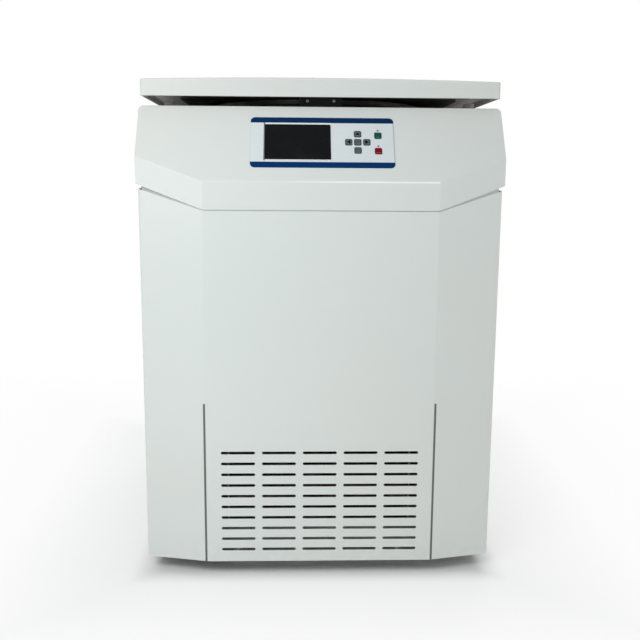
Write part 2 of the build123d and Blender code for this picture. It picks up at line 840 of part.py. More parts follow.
# ---------------------------------------------------------------- lid lock
hook_pivot_z = deck_z - lock_pivot_drop
bar_z = hinge_z + striker_under - striker_loop_drop
hook_y = striker_y - striker_bar_radius - hook_gap - hook_width / 2
lock_front_y = hook_y - 9
lock_under = hook_pivot_z - 12
lock_cheek_top = hinge_z + striker_under - 2
with BuildPart() as latch_housing:
    with BuildSketch(Plane.XZ.offset(-lock_rear_y)):
        with Locations((0, (lock_under + deck_z - header_wall) / 2)):
            Rectangle(2 * lock_cheek_x + 2 * lock_sheet, deck_z - header_wall - lock_under)
    extrude(amount=-lock_sheet)
    for side in (-1, 1):
        with BuildSketch(Plane.YZ.offset(side * (lock_cheek_x + lock_sheet / 2))):
            with BuildLine():
                FilletPolyline(
                    (lock_rear_y, lock_under),
                    (lock_front_y, lock_under),
                    (lock_front_y, lock_cheek_top - 20),
                    (lock_rear_y, lock_cheek_top),
                    radius=(6, 4),
                )
                Line((lock_rear_y, lock_cheek_top), (lock_rear_y, lock_under))
            make_face()
            with Locations((hook_y, hook_pivot_z)):
                Circle(hook_pin_radius + running, mode=Mode.SUBTRACT)
        extrude(amount=lock_sheet / 2, both=True)
    with BuildSketch(Plane.XY.offset(deck_z - header_wall)):
        with Locations((0, (lock_rear_y + lock_flange_y) / 2)):
            Rectangle(2 * lock_cheek_x + 2 * lock_sheet, lock_flange_y - lock_rear_y)
    extrude(amount=-lock_sheet)
latch_housing.part.label = "latch_housing"
export_step(latch_housing.part, "parts/latch_housing.step")

nose_z = bar_z + striker_bar_radius + hook_gap
with BuildPart() as latch_hook:
    hook_plane = Plane(
        origin=(0, hook_y, hook_pivot_z),
        x_dir=(0, cos(radians(hook_open)), sin(radians(hook_open))),
        z_dir=(1, 0, 0),
    )
    with BuildSketch(hook_plane):
        Circle(hook_pin_radius + 4)
        with Locations((0, (nose_z - hook_pivot_z) / 2)):
            Rectangle(hook_width, nose_z - hook_pivot_z)
        with BuildLine():
            nose_up = nose_z - hook_pivot_z
            nose_reach = striker_y + striker_bar_radius - hook_y
            Polyline(
                (0, nose_up),
                (nose_reach, nose_up),
                (nose_reach, nose_up + hook_nose / 3),
                (hook_width / 2, nose_up + hook_nose),
                (-hook_width / 2, nose_up + hook_nose),
                close=True,
            )
        make_face()
    extrude(amount=hook_width / 2, both=True)
    with BuildSketch(hook_plane):
        Circle(hook_pin_radius)
    extrude(amount=lock_cheek_x + lock_sheet, both=True)
latch_hook.part.label = "latch_hook"
export_step(latch_hook.part, "parts/latch_hook.step")

# ---------------------------------------------------------------- rotor and drive
plate_seat_x = plate_width + 2 * plate_play
plate_seat_y = plate_length + 2 * plate_play
carrier_half_x = plate_seat_x / 2 + carrier_wall
carrier_half_y = plate_seat_y / 2 + carrier_wall
carrier_top = pin_z - carrier_top_drop
carrier_under = carrier_top - carrier_depth
boss_outer = carrier_half_y + carrier_boss
prong_face = boss_outer + trunnion_gap
ear_radius = trunnion_radius + 8


def plate_carrier(number, angle):
    """A hanging tray for one plate, with a grooved ear over a trunnion at each end."""
    arm = arm_frame(angle)
    seat = Plane(arm.from_local_coords((pivot_radius, 0, 0)), arm.x_dir, arm.z_dir)
    with BuildPart() as carrier:
        with BuildSketch(seat.offset(carrier_under)):
            RectangleRounded(2 * carrier_half_x, 2 * carrier_half_y, 5)
        extrude(amount=carrier_depth)
        with BuildSketch(seat.offset(carrier_under + carrier_floor)):
            RectangleRounded(plate_seat_x, plate_seat_y, 3)
        extrude(amount=carrier_depth, mode=Mode.SUBTRACT)
        with BuildSketch(seat.offset(carrier_under)):
            with GridLocations(plate_seat_x / 2.2, plate_seat_y / 3, 2, 3):
                RectangleRounded(plate_seat_x / 3.2, plate_seat_y / 4.4, 4)
        extrude(amount=carrier_floor, mode=Mode.SUBTRACT)
        for side in (-1, 1):
            wall_middle = side * (carrier_half_y - carrier_wall / 2)
            upright_plane = Plane(
                seat.from_local_coords((0, wall_middle, 0)), seat.x_dir, -seat.y_dir
            )
            with BuildSketch(upright_plane):
                with Locations((0, pin_z)):
                    Circle(ear_radius)
                with Locations((0, carrier_top)):
                    Rectangle(2 * ear_radius + 20, 0.1)
                make_hull()
                with Locations((0, carrier_top - 2)):
                    Rectangle(2 * ear_radius + 20, 4)
            extrude(amount=carrier_wall / 2, both=True)
            boss_middle = side * (carrier_half_y + carrier_boss / 2)
            boss_plane = Plane(
                seat.from_local_coords((0, boss_middle, 0)), seat.x_dir, -seat.y_dir
            )
            with BuildSketch(boss_plane):
                with Locations((0, pin_z)):
                    Circle(ear_radius)
                with Locations((0, pin_z - ear_radius / 2)):
                    Rectangle(2 * ear_radius, ear_radius)
                with Locations((0, pin_z)):
                    Circle(trunnion_radius + running, mode=Mode.SUBTRACT)
                with Locations((0, pin_z - ear_radius)):
                    Rectangle(
                        2 * (trunnion_radius + running), 2 * ear_radius, mode=Mode.SUBTRACT
                    )
            extrude(amount=carrier_boss / 2, both=True)
    carrier.part.label = f"plate_carrier_{number}"
    export_step(carrier.part, f"parts/plate_carrier_{number}.step")


carrier_step = 360 / carrier_count
for number in range(carrier_count):
    plate_carrier(number + 1, carrier_step * number)

motor_flange_z = bridge_top + damper_height
motor_top = motor_flange_z + motor_height
neck_top = bowl_floor_z + bowl_cone_rise + 12
hub_under = pin_z - yoke_thickness / 2 - hub_below
with BuildPart() as rotor_yoke:
    arm_half = yoke_arm_width / 2
    prong_outer = prong_face + prong_width
    prong_tip = pivot_radius + ear_radius
    with BuildSketch(bowl_level(pin_z - yoke_thickness / 2)):
        Circle(hub_radius)
        with PolarLocations(0, carrier_count):
            side_step = arm_half * sqrt(2)
            Polygon(
                (0, 0),
                (side_step, 0),
                (prong_face + side_step, prong_face),
                (prong_tip, prong_face),
                (prong_tip, prong_outer),
                (prong_outer + 8, prong_outer),
                (prong_outer, prong_outer + 8),
                (prong_outer, prong_tip),
                (prong_face, prong_tip),
                (prong_face, prong_face + side_step),
                (0, side_step),
                align=None,
            )
    extrude(amount=yoke_thickness)
    with BuildSketch(bowl_level(hub_under)):
        Circle(hub_radius)
    extrude(amount=yoke_thickness + hub_below)
    for turn in range(carrier_count):
        arm = arm_frame(carrier_step * turn)
        for side in (-1, 1):
            trunnion_plane = Plane(
                arm.from_local_coords((pivot_radius, side * prong_face, pin_z)),
                arm.x_dir,
                -side * arm.y_dir,
            )
            with BuildSketch(trunnion_plane):
                Circle(trunnion_radius)
            extrude(amount=trunnion_gap + carrier_boss - seat_gap)
    with BuildSketch(bowl_level(hub_under)):
        Circle(shaft_radius)
    extrude(amount=yoke_thickness + hub_below, mode=Mode.SUBTRACT)
rotor_yoke.part.label = "rotor_yoke"
export_step(rotor_yoke.part, "parts/rotor_yoke.step")

shaft_foot = neck_top - shaft_engagement
with BuildPart() as drive_shaft:
    with BuildSketch(bowl_level(shaft_foot)):
        Circle(shaft_radius)
    extrude(amount=pin_z + yoke_thickness / 2 + nut_height / 2 - shaft_foot)
    with BuildSketch(bowl_level(neck_top + 1)):
        Circle(shaft_radius + 8)
    extrude(amount=hub_under - neck_top - 1, taper=4)
drive_shaft.part.label = "drive_shaft"
export_step(drive_shaft.part, "parts/drive_shaft.step")

with BuildPart() as rotor_nut:
    with BuildSketch(bowl_level(pin_z + yoke_thickness / 2)):
        RegularPolygon(nut_radius, 6)
    extrude(amount=nut_height * 0.6)
    with BuildSketch(bowl_level(pin_z + yoke_thickness / 2 + nut_height * 0.6)):
        Circle(nut_radius * 0.8)
    extrude(amount=nut_height * 0.4, taper=25)
    with BuildSketch(bowl_level(pin_z + yoke_thickness / 2)):
        Circle(shaft_radius)
    extrude(amount=nut_height / 2, mode=Mode.SUBTRACT)
rotor_nut.part.label = "rotor_nut"
export_step(rotor_nut.part, "parts/rotor_nut.step")

damper_places = PolarLocations(motor_flange_radius - damper_radius - 2, 3)
with BuildPart() as drive_motor:
    with BuildSketch(Plane.XZ.offset(-bowl_centre_y)):
        with BuildLine():
            Polyline(
                (0, motor_flange_z),
                (motor_flange_radius, motor_flange_z),
                (motor_flange_radius, motor_flange_z + motor_flange),
                (motor_radius, motor_flange_z + motor_flange),
                (motor_radius, motor_top - 20),
                (motor_radius - 14, motor_top),
                (motor_neck_radius, motor_top),
                (motor_neck_radius, neck_top - 2),
                (motor_neck_radius - 4, neck_top),
                (shaft_radius + running, neck_top),
                (shaft_radius + running, shaft_foot - 1),
                (0, shaft_foot - 1),
                close=True,
            )
        make_face()
    revolve(axis=bowl_axis)
drive_motor.part.label = "drive_motor"
export_step(drive_motor.part, "parts/drive_motor.step")

with BuildPart() as motor_dampers:
    with BuildSketch(bowl_level(bridge_top)):
        with damper_places:
            Circle(damper_radius)
    extrude(amount=damper_height)
motor_dampers.part.label = "motor_dampers"
export_step(motor_dampers.part, "parts/motor_dampers.step")

with BuildPart() as motor_bridge:
    with BuildSketch(bowl_level(bridge_top - bridge_thickness)):
        Rectangle(2 * frame_half, bridge_width)
        Circle(motor_radius / 3, mode=Mode.SUBTRACT)
    extrude(amount=bridge_thickness)
    with BuildSketch(bowl_level(bridge_top - bridge_thickness)):
        with GridLocations(0, bridge_width - bridge_thickness, 1, 2):
            Rectangle(2 * (frame_half - post_leg - 1), bridge_thickness)
    extrude(amount=-post_leg)
motor_bridge.part.label = "motor_bridge"
export_step(motor_bridge.part, "parts/motor_bridge.step")

# ---------------------------------------------------------------- base frame
pan_middle_y = (pan_front_y + side_rear_y - sheet - seat_gap) / 2
pan_length = side_rear_y - sheet - seat_gap - pan_front_y
rear_post_y = side_rear_y - sheet - rear_post_margin
rail_top = bridge_top - bridge_thickness
front_post_top = deck_z - header_wall - post_head_gap
with BuildPart() as base_frame:
    with BuildSketch(Plane.XY.offset(pan_height)):
        with Locations((0, pan_middle_y)):
            Rectangle(2 * frame_half, pan_length)
        with Locations((drain_x, drain_y)):
            Circle(drain_bore, mode=Mode.SUBTRACT)
    extrude(amount=pan_sheet)
    with BuildSketch(Plane.XY.offset(pan_height)):
        with Locations((0, pan_middle_y)):
            Rectangle(2 * frame_half, pan_length)
            Rectangle(2 * frame_half - 2 * pan_sheet, pan_length - 2 * pan_sheet, mode=Mode.SUBTRACT)
    extrude(amount=pan_sheet - pan_wall)
    for side in (-1, 1):
        for post_y, run in ((front_post_y, 1), (rear_post_y, -1)):
            with BuildSketch(Plane.XY.offset(pan_height)):
                with BuildLine():
                    Polyline(
                        (side * frame_half, post_y),
                        (side * frame_half, post_y + run * post_leg),
                        (side * (frame_half - post_sheet), post_y + run * post_leg),
                        (side * (frame_half - post_sheet), post_y + run * post_sheet),
                        (side * (frame_half - post_leg), post_y + run * post_sheet),
                        (side * (frame_half - post_leg), post_y),
                        close=True,
                    )
                make_face()
            post_top = front_post_top if run > 0 else deck_z - deck_hem
            extrude(amount=post_top - pan_height)
        with BuildSketch(Plane.XZ.offset(-front_post_y)):
            with BuildLine():
                Polyline(
                    (side * frame_half, rail_top),
                    (side * frame_half, rail_top - post_leg),
                    (side * (frame_half - post_sheet), rail_top - post_leg),
                    (side * (frame_half - post_sheet), rail_top - post_sheet),
                    (side * (frame_half - post_leg), rail_top - post_sheet),
                    (side * (frame_half - post_leg), rail_top),
                    close=True,
                )
            make_face()
        extrude(amount=-(rear_post_y - front_post_y))
base_frame.part.label = "base_frame"
export_step(base_frame.part, "parts/base_frame.step")

# ---------------------------------------------------------------- refrigeration and drive box
pan_floor = pan_height + pan_sheet
condenser_front_y = pan_front_y + pan_sheet + condenser_front_gap
condenser_middle_y = condenser_front_y + condenser_depth / 2
with BuildPart() as condenser:
    with BuildSketch(Plane.XY.offset(pan_floor)):
        with Locations((0, condenser_middle_y)):
            with GridLocations(condenser_width - 2, 0, 2, 1):
                Rectangle(2, condenser_depth)
            fin_pitch = condenser_width / (condenser_fins + 1)
            with GridLocations(fin_pitch, 0, condenser_fins, 1):
                Rectangle(1, condenser_depth)
    extrude(amount=condenser_height)
    with BuildSketch(Plane.YZ.offset(-condenser_width / 2)):
        with Locations((condenser_middle_y, pan_floor + condenser_height / 2)):
            tube_pitch = condenser_height / condenser_tubes
            with GridLocations(0, tube_pitch, 1, condenser_tubes):
                Rectangle(condenser_depth - 8, 5)
    extrude(amount=condenser_width)
condenser.part.label = "condenser"
export_step(condenser.part, "parts/condenser.step")

fan_front_y = condenser_front_y + condenser_depth + seat_gap
fan_z = pan_floor + condenser_height / 2
fan_plane = Plane.XZ.offset(-(fan_front_y + fan_depth))
shroud_depth = fan_depth + 14
with BuildPart() as fan_shroud:
    with BuildSketch(Plane.XZ.offset(-fan_front_y)):
        with Locations((0, fan_z)):
            Rectangle(condenser_width, condenser_height)
            Circle(fan_radius + fan_gap, mode=Mode.SUBTRACT)
    extrude(amount=-2)
    with BuildSketch(Plane.XZ.offset(-fan_front_y)):
        with Locations((0, fan_z)):
            Circle(fan_radius + fan_gap + fan_ring / 2)
            Circle(fan_radius + fan_gap, mode=Mode.SUBTRACT)
    extrude(amount=-shroud_depth)
    strut_y = fan_front_y + shroud_depth
    with BuildSketch(Plane.XZ.offset(-strut_y)):
        with Locations((0, fan_z)):
            Circle(fan_hub_radius)
            Circle(3 + running, mode=Mode.SUBTRACT)
            with PolarLocations((fan_hub_radius + fan_radius + fan_gap + 1) / 2, 3, 90):
                Rectangle(fan_radius + fan_gap + 1 - fan_hub_radius, 10)
    extrude(amount=6)
fan_shroud.part.label = "fan_shroud"
export_step(fan_shroud.part, "parts/fan_shroud.step")

with BuildPart() as condenser_fan:
    with BuildSketch(fan_plane):
        with Locations((0, fan_z)):
            Circle(fan_hub_radius - 4)
    extrude(amount=fan_depth - 4)
    with BuildSketch(fan_plane):
        with Locations((0, fan_z)):
            Circle(3)
    extrude(amount=-(shroud_depth - fan_depth))
    for blade in range(fan_blades):
        turn = radians(360 * blade / fan_blades)
        outward = Vector(cos(turn), 0, sin(turn))
        middle = Vector(0, fan_front_y + fan_depth / 2 + 2, fan_z)
        root_plane = Plane(middle + outward * (fan_hub_radius - 8), Vector(0, 1, 0), outward)
        tip_plane = Plane(middle + outward * fan_radius, Vector(0, 1, 0), outward)
        with BuildSketch(root_plane):
            Rectangle(22, 2.5, rotation=48)
        with BuildSketch(tip_plane):
            Rectangle(30, 2, rotation=62)
        loft()
condenser_fan.part.label = "condenser_fan"
export_step(condenser_fan.part, "parts/condenser_fan.step")

with BuildPart() as compressor:
    with BuildSketch(Plane.XZ.offset(-compressor_y)):
        with BuildLine():
            foot = pan_floor + 12
            FilletPolyline(
                (compressor_x, foot),
                (compressor_x + compressor_radius, foot),
                (compressor_x + compressor_radius, foot + compressor_height),
                (compressor_x, foot + compressor_height),
                radius=(18, 40),
            )
            Line((compressor_x, foot + compressor_height), (compressor_x, foot))
        make_face()
    revolve(axis=Axis((compressor_x, compressor_y, 0), (0, 0, 1)))
    with BuildSketch(Plane.XY.offset(pan_floor + 10)):
        with Locations((compressor_x, compressor_y)):
            RectangleRounded(2.2 * compressor_radius, 2.2 * compressor_radius, 20)
    extrude(amount=4)
    with BuildSketch(Plane.XY.offset(pan_floor)):
        with Locations((compressor_x, compressor_y)):
            with GridLocations(1.8 * compressor_radius, 1.8 * compressor_radius, 2, 2):
                Circle(9)
    extrude(amount=11)
compressor.part.label = "compressor"
export_step(compressor.part, "parts/compressor.step")

with BuildPart() as inverter_box:
    with BuildSketch(Plane.XY.offset(pan_floor)):
        with Locations((inverter_x, inverter_y)):
            RectangleRounded(inverter_width, inverter_depth, 4)
    extrude(amount=inverter_height)
    with BuildSketch(Plane.XY.offset(pan_floor + inverter_height)):
        with Locations((inverter_x, inverter_y)):
            fin_step = inverter_width / (inverter_fins + 1)
            with GridLocations(fin_step, 0, inverter_fins, 1):
                Rectangle(2, inverter_depth - 16)
    extrude(amount=24)
inverter_box.part.label = "inverter_box"
export_step(inverter_box.part, "parts/inverter_box.step")

# ---------------------------------------------------------------- castors
castor_places = {
    "front_left": (-castor_x, -castor_y),
    "front_right": (castor_x, -castor_y),
    "rear_left": (-castor_x, castor_y),
    "rear_right": (castor_x, castor_y),
}
plate_under = pan_height - castor_plate_sheet
crown_top = plate_under - race_height - seat_gap
cheek_inner = wheel_width / 2 + castor_play

with BuildPart() as castor_plates:
    for x, y in castor_places.values():
        with BuildSketch(Plane.XY.offset(pan_height)):
            with Locations((x, y)):
                RectangleRounded(castor_plate_x, castor_plate_y, 6)
        extrude(amount=-castor_plate_sheet)
        with BuildSketch(Plane.XY.offset(plate_under)):
            with Locations((x, y)):
                Circle(race_radius)
        extrude(amount=-race_height)
        with BuildSketch(Plane.XY.offset(plate_under - race_height)):
            with Locations((x, y)):
                Circle(kingpin_radius)
        extrude(amount=-(crown_sheet + 2 * seat_gap))
        with BuildSketch(Plane.XY.offset(crown_top - crown_sheet - seat_gap)):
            with Locations((x, y)):
                Circle(kingpin_radius + 3)
        extrude(amount=-2)
castor_plates.part.label = "castor_plates"
export_step(castor_plates.part, "parts/castor_plates.step")

for place, (x, y) in castor_places.items():
    with BuildPart() as castor_fork:
        with BuildSketch(Plane.XY.offset(crown_top)):
            with Locations((x, y)):
                RectangleRounded(2 * (cheek_inner + castor_cheek), 2 * race_radius, 4)
                Circle(kingpin_radius + running, mode=Mode.SUBTRACT)
        extrude(amount=-crown_sheet)
        for side in (-1, 1):
            with BuildSketch(Plane.YZ.offset(x + side * (cheek_inner + castor_cheek / 2))):
                with Locations((y + castor_trail, wheel_radius)):
                    Circle(3 * axle_radius)
                with Locations((y, crown_top - crown_sheet / 2)):
                    Rectangle(2 * race_radius - 4, crown_sheet)
                make_hull()
            extrude(amount=castor_cheek / 2, both=True)
        with BuildSketch(Plane.YZ.offset(x - cheek_inner - castor_cheek - 2)):
            with Locations((y + castor_trail, wheel_radius)):
                Circle(axle_radius)
        extrude(amount=2 * (cheek_inner + castor_cheek + 2))
    castor_fork.part.label = f"castor_fork_{place}"
    export_step(castor_fork.part, f"parts/castor_fork_{place}.step")

    with BuildPart() as castor_wheel:
        wheel_axis = Axis((0, y + castor_trail, wheel_radius), (1, 0, 0))
        with BuildSketch(Plane.XY.offset(wheel_radius)):
            with BuildLine():
                hub_y = y + castor_trail + axle_radius + running
                rim_y = y + castor_trail + wheel_radius
                half_width = wheel_width / 2
                Polyline(
                    (x - half_width, hub_y),
                    (x - half_width, hub_y + 8),
                    (x - half_width + 4, hub_y + 10),
                    (x - half_width + 4, rim_y - 9),
                    (x - half_width + 1, rim_y - 7),
                    (x - half_width + 1, rim_y - 3),
                    (x - half_width + 4, rim_y),
                    (x + half_width - 4, rim_y),
                    (x + half_width - 1, rim_y - 3),
                    (x + half_width - 1, rim_y - 7),
                    (x + half_width - 4, rim_y - 9),
                    (x + half_width - 4, hub_y + 10),
                    (x + half_width, hub_y + 8),
                    (x + half_width, hub_y),
                    close=True,
                )
            make_face()
        revolve(axis=wheel_axis)
    castor_wheel.part.label = f"castor_wheel_{place}"
    export_step(castor_wheel.part, f"parts/castor_wheel_{place}.step")

with BuildPart() as levelling_feet:
    for x in (-foot_x, foot_x):
        with BuildSketch(Plane.XZ.offset(-foot_y)):
            with BuildLine():
                Polyline(
                    (x, 0),
                    (x + foot_radius, 0),
                    (x + foot_radius, foot_height / 2),
                    (x + stem_radius + 3, foot_height),
                    (x + stem_radius, foot_height + 4),
                    (x + stem_radius, pan_height),
                    (x, pan_height),
                    close=True,
                )
            make_face()
        revolve(axis=Axis((x, foot_y, 0), (0, 0, 1)))
        with BuildSketch(Plane.XY.offset(pan_height)):
            with Locations((x, foot_y)):
                RegularPolygon(nut_across / 2, 6, major_radius=False)
        extrude(amount=-stem_radius)
levelling_feet.part.label = "levelling_feet"
export_step(levelling_feet.part, "parts/levelling_feet.step")

# ---------------------------------------------------------------- rear services and screws
inlet_rear_y = rear_y + inlet_flange
socket_z = inlet_z - 13
rocker_z = inlet_z + 17
rocker_pivot_y = rear_y - 4
with BuildPart() as power_inlet:
    with BuildSketch(Plane.XZ.offset(-inlet_rear_y)):
        with Locations((inlet_x, inlet_z)):
            RectangleRounded(inlet_width, inlet_height, 4)
    extrude(amount=inlet_flange)
    with BuildSketch(Plane.XZ.offset(-rear_y)):
        with Locations((inlet_x, inlet_z)):
            Rectangle(inlet_width - 9, inlet_height - 9)
    extrude(amount=26)
    with BuildSketch(Plane.XZ.offset(-inlet_rear_y)):
        with Locations((inlet_x, socket_z)):
            RectangleRounded(27, 20, 3)
        with Locations((inlet_x, rocker_z)):
            Rectangle(rocker_width + 0.6, rocker_length + 0.6)
    extrude(amount=20, mode=Mode.SUBTRACT)
    with BuildSketch(Plane.YZ.offset(inlet_x - rocker_width / 2 - 4)):
        with Locations((rocker_pivot_y, rocker_z)):
            Circle(2 + running)
    extrude(amount=rocker_width + 8, mode=Mode.SUBTRACT)
    with BuildSketch(Plane.XZ.offset(-inlet_rear_y + 20)):
        with Locations((inlet_x, socket_z)):
            with Locations((-7, 0), (7, 0), (0, 3)):
                Rectangle(2, 6)
    extrude(amount=-12)
power_inlet.part.label = "power_inlet"
export_step(power_inlet.part, "parts/power_inlet.step")

rocker_plane = Plane(
    origin=(inlet_x, rocker_pivot_y, rocker_z),
    x_dir=(0, cos(radians(rocker_tilt)), sin(radians(rocker_tilt))),
    z_dir=(1, 0, 0),
)
with BuildPart() as power_rocker:
    with BuildSketch(rocker_plane):
        face_out = inlet_rear_y - rocker_pivot_y - 2
        Polygon(
            (face_out, -rocker_length / 2 + 1),
            (face_out - 1.5, 0),
            (face_out, rocker_length / 2 - 1),
            (-1, 5),
            (-5, 0),
            (-1, -5),
            align=None,
        )
    extrude(amount=rocker_width / 2, both=True)
    with BuildSketch(rocker_plane):
        Circle(2)
    extrude(amount=rocker_width / 2 + 3.5, both=True)
power_rocker.part.label = "power_rocker"
export_step(power_rocker.part, "parts/power_rocker.step")

with BuildPart() as drain_spigot:
    with BuildSketch(Plane.XY.offset(pan_height)):
        with Locations((drain_x, drain_y)):
            Circle(2 * drain_radius)
    extrude(amount=-3)
    with BuildSketch(Plane.XY.offset(pan_height - 3)):
        with Locations((drain_x, drain_y)):
            Circle(drain_radius)
    extrude(amount=-drain_length)
    with BuildSketch(Plane.XY.offset(pan_height)):
        with Locations((drain_x, drain_y)):
            Circle(drain_bore)
    extrude(amount=-drain_length - 3, mode=Mode.SUBTRACT)
drain_spigot.part.label = "drain_spigot"
export_step(drain_spigot.part, "parts/drain_spigot.step")

screw_ys = (side_front_y + 40, (side_front_y + side_rear_y) / 2, side_rear_y - 40)
with BuildPart() as panel_screws:
    for side in (-1, 1):
        for screw_z in (pan_height - pan_wall / 3, rail_top - post_leg / 2):
            for screw_y in screw_ys:
                with BuildSketch(Plane.YZ.offset(side * half_body)):
                    with Locations((screw_y, screw_z)):
                        Circle(screw_head_radius)
                extrude(amount=side * screw_head_height, taper=15)
    with BuildSketch(Plane.XZ.offset(-rear_y)):
        rear_screw_z = (pan_height - pan_wall / 3, rail_top - post_leg / 2, deck_z - 30)
        for screw_z in rear_screw_z:
            with Locations((0, screw_z)):
                with GridLocations(body_width - 2 * hem_width, 0, 2, 1):
                    Circle(screw_head_radius)
    extrude(amount=-screw_head_height, taper=15)
panel_screws.part.label = "panel_screws"
export_step(panel_screws.part, "parts/panel_screws.step")
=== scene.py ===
from math import cos, pi, radians, sin

import bmesh
import bpy
from mathutils import Matrix, Vector


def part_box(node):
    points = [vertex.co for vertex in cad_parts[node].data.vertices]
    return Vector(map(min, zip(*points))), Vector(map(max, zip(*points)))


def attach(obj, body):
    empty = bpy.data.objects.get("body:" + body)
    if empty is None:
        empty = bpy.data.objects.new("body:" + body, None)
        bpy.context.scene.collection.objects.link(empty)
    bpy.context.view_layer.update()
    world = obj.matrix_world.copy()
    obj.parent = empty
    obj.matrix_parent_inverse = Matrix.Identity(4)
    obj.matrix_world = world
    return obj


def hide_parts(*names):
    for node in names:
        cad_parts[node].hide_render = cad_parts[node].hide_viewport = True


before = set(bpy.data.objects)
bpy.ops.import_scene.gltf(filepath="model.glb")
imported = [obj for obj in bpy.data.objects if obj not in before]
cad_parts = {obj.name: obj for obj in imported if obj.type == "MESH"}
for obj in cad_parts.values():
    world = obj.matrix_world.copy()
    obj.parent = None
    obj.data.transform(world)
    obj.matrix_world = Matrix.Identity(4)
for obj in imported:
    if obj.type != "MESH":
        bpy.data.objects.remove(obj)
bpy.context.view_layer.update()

# ---------------------------------------------------------------- studio
# A pale floor runs out under a white surround. The key lamp stands close on the left of the
# front, and others light the cabinet from high up, the right, the foot and the rear. The last
# one is small and shows only in reflections.
studio = bpy.context.scene
studio.view_settings.view_transform = "Standard"

eye = Vector((-0.0508, -1.8543, 0.7414))
look_down, look_right, tilt = radians(10.43), radians(1.89), radians(0.435)
ahead = Vector(
    (sin(look_right) * cos(look_down), cos(look_right) * cos(look_down), -sin(look_down))
)
level_right = Vector((cos(look_right), -sin(look_right), 0))
level_up = level_right.cross(ahead)
view_right = cos(tilt) * level_right + sin(tilt) * level_up
view_up = cos(tilt) * level_up - sin(tilt) * level_right
turn_to_view = Matrix((view_right, view_up, -ahead)).transposed().to_4x4()
lens = bpy.data.cameras.new("camera")
lens.sensor_width, lens.lens, lens.shift_y = 36, 49.88, 0.0025
camera = bpy.data.objects.new("camera", lens)
camera.matrix_world = Matrix.Translation(eye) @ turn_to_view
studio.collection.objects.link(camera)
studio.camera = camera


def lamp(name, stand_at, target, size, watts, tint=(1, 1, 1)):
    """A soft rectangular lamp that faces a target."""
    light = bpy.data.lights.new(name, "AREA")
    light.shape, light.size, light.size_y = "RECTANGLE", *size
    light.energy, light.color = watts, tint
    stand = bpy.data.objects.new(name, light)
    stand.location = stand_at
    towards = Vector(target) - Vector(stand_at)
    stand.rotation_euler = towards.to_track_quat("-Z", "Y").to_euler()
    stand.visible_camera = False
    studio.collection.objects.link(stand)
    return stand


lamp("key_lamp", (-0.6, -1.15, 0.9), (-0.1, -0.3, 0.6), (0.6, 0.7), 2.45)
lamp("fill_lamp", (2.6, -0.75, 0.5), (0.1, -0.2, 0.65), (0.9, 0.9), 10.8, (1, 0.93, 0.84))
lamp("high_lamp", (-0.95, -1.85, 1.9), (-0.1, -0.2, 0.7), (1.2, 0.8), 18)
lamp("low_lamp", (-0.3, -1.0, 0.08), (-0.1, -0.3, 0.55), (0.9, 0.4), 0.7)
lamp("rear_lamp", (0.9, 2.6, 2.4), (0, 0.1, 0.6), (2.0, 1.4), 30)
glint = lamp("glint_lamp", (0.28, -1.45, 1.55), (0.1, -0.36, 0.7), (0.7, 0.4), 8)
glint.visible_diffuse = False


class Shade:
    """One output in a finish's node tree. Sums and comparisons with it add Math nodes."""

    def __init__(self, tree, socket=None):
        self.tree, self.socket = tree, socket

    def node(self, kind, settings, sockets, output=0):
        """Any node: its settings go in first, then the values or the links of its sockets."""
        made = self.tree.nodes.new(kind)
        for name, value in settings.items():
            setattr(made, name, value)
        for name, value in sockets.items():
            if isinstance(value, Shade):
                self.tree.links.new(value.socket, made.inputs[name])
            else:
                made.inputs[name].default_value = value
        return Shade(self.tree, made.outputs[output])

    def math(self, operation, *terms):
        return self.node("ShaderNodeMath", {"operation": operation}, dict(enumerate(terms)))

    def __add__(self, other):
        return self.math("ADD", self, other)

    def __sub__(self, other):
        return self.math("SUBTRACT", self, other)

    def __rsub__(self, other):
        return self.math("SUBTRACT", other, self)

    def __mul__(self, other):
        return self.math("MULTIPLY", self, other)

    def __abs__(self):
        return self.math("ABSOLUTE", self)

    def __gt__(self, other):
        return self.math("GREATER_THAN", self, other)

    def __lt__(self, other):
        return self.math("LESS_THAN", self, other)

    __radd__, __rmul__ = __add__, __mul__

    def to(self, shader, socket):
        self.tree.links.new(self.socket, shader.inputs[socket])


def split(shade, vector):
    """The X, Y and Z of a vector."""
    parts = shade.node("ShaderNodeSeparateXYZ", {}, {0: vector}).socket.node
    return [Shade(shade.tree, parts.outputs[axis]) for axis in "XYZ"]


def white_to_the_eye(tree, lit, share):
    """Camera, mirror and glass rays see white in this share, and other rays see only lit."""
    rays = Shade(tree)
    seen = rays.node("ShaderNodeLightPath", {}, {}, "Is Camera Ray")
    for kind in ("Is Glossy Ray", "Is Transmission Ray"):
        seen = seen.math("MAXIMUM", seen, rays.node("ShaderNodeLightPath", {}, {}, kind))
    white = rays.node("ShaderNodeEmission", {}, {"Color": (1, 1, 1, 1), "Strength": 1})
    return rays.node("ShaderNodeMixShader", {}, {0: seen * share, 1: lit, 2: white})


surround = bpy.data.worlds.new("surround")
surround.use_nodes = True
surround_light = surround.node_tree.nodes["Background"]
surround_light.inputs["Color"].default_value = (0.97, 0.99, 1, 1)
surround_light.inputs["Strength"].default_value = 0.34
surround_lit = Shade(surround.node_tree, surround_light.outputs[0])
surround_seen = white_to_the_eye(surround.node_tree, surround_lit, 1)
surround_seen.to(surround.node_tree.nodes["World Output"], "Surface")
studio.world = surround


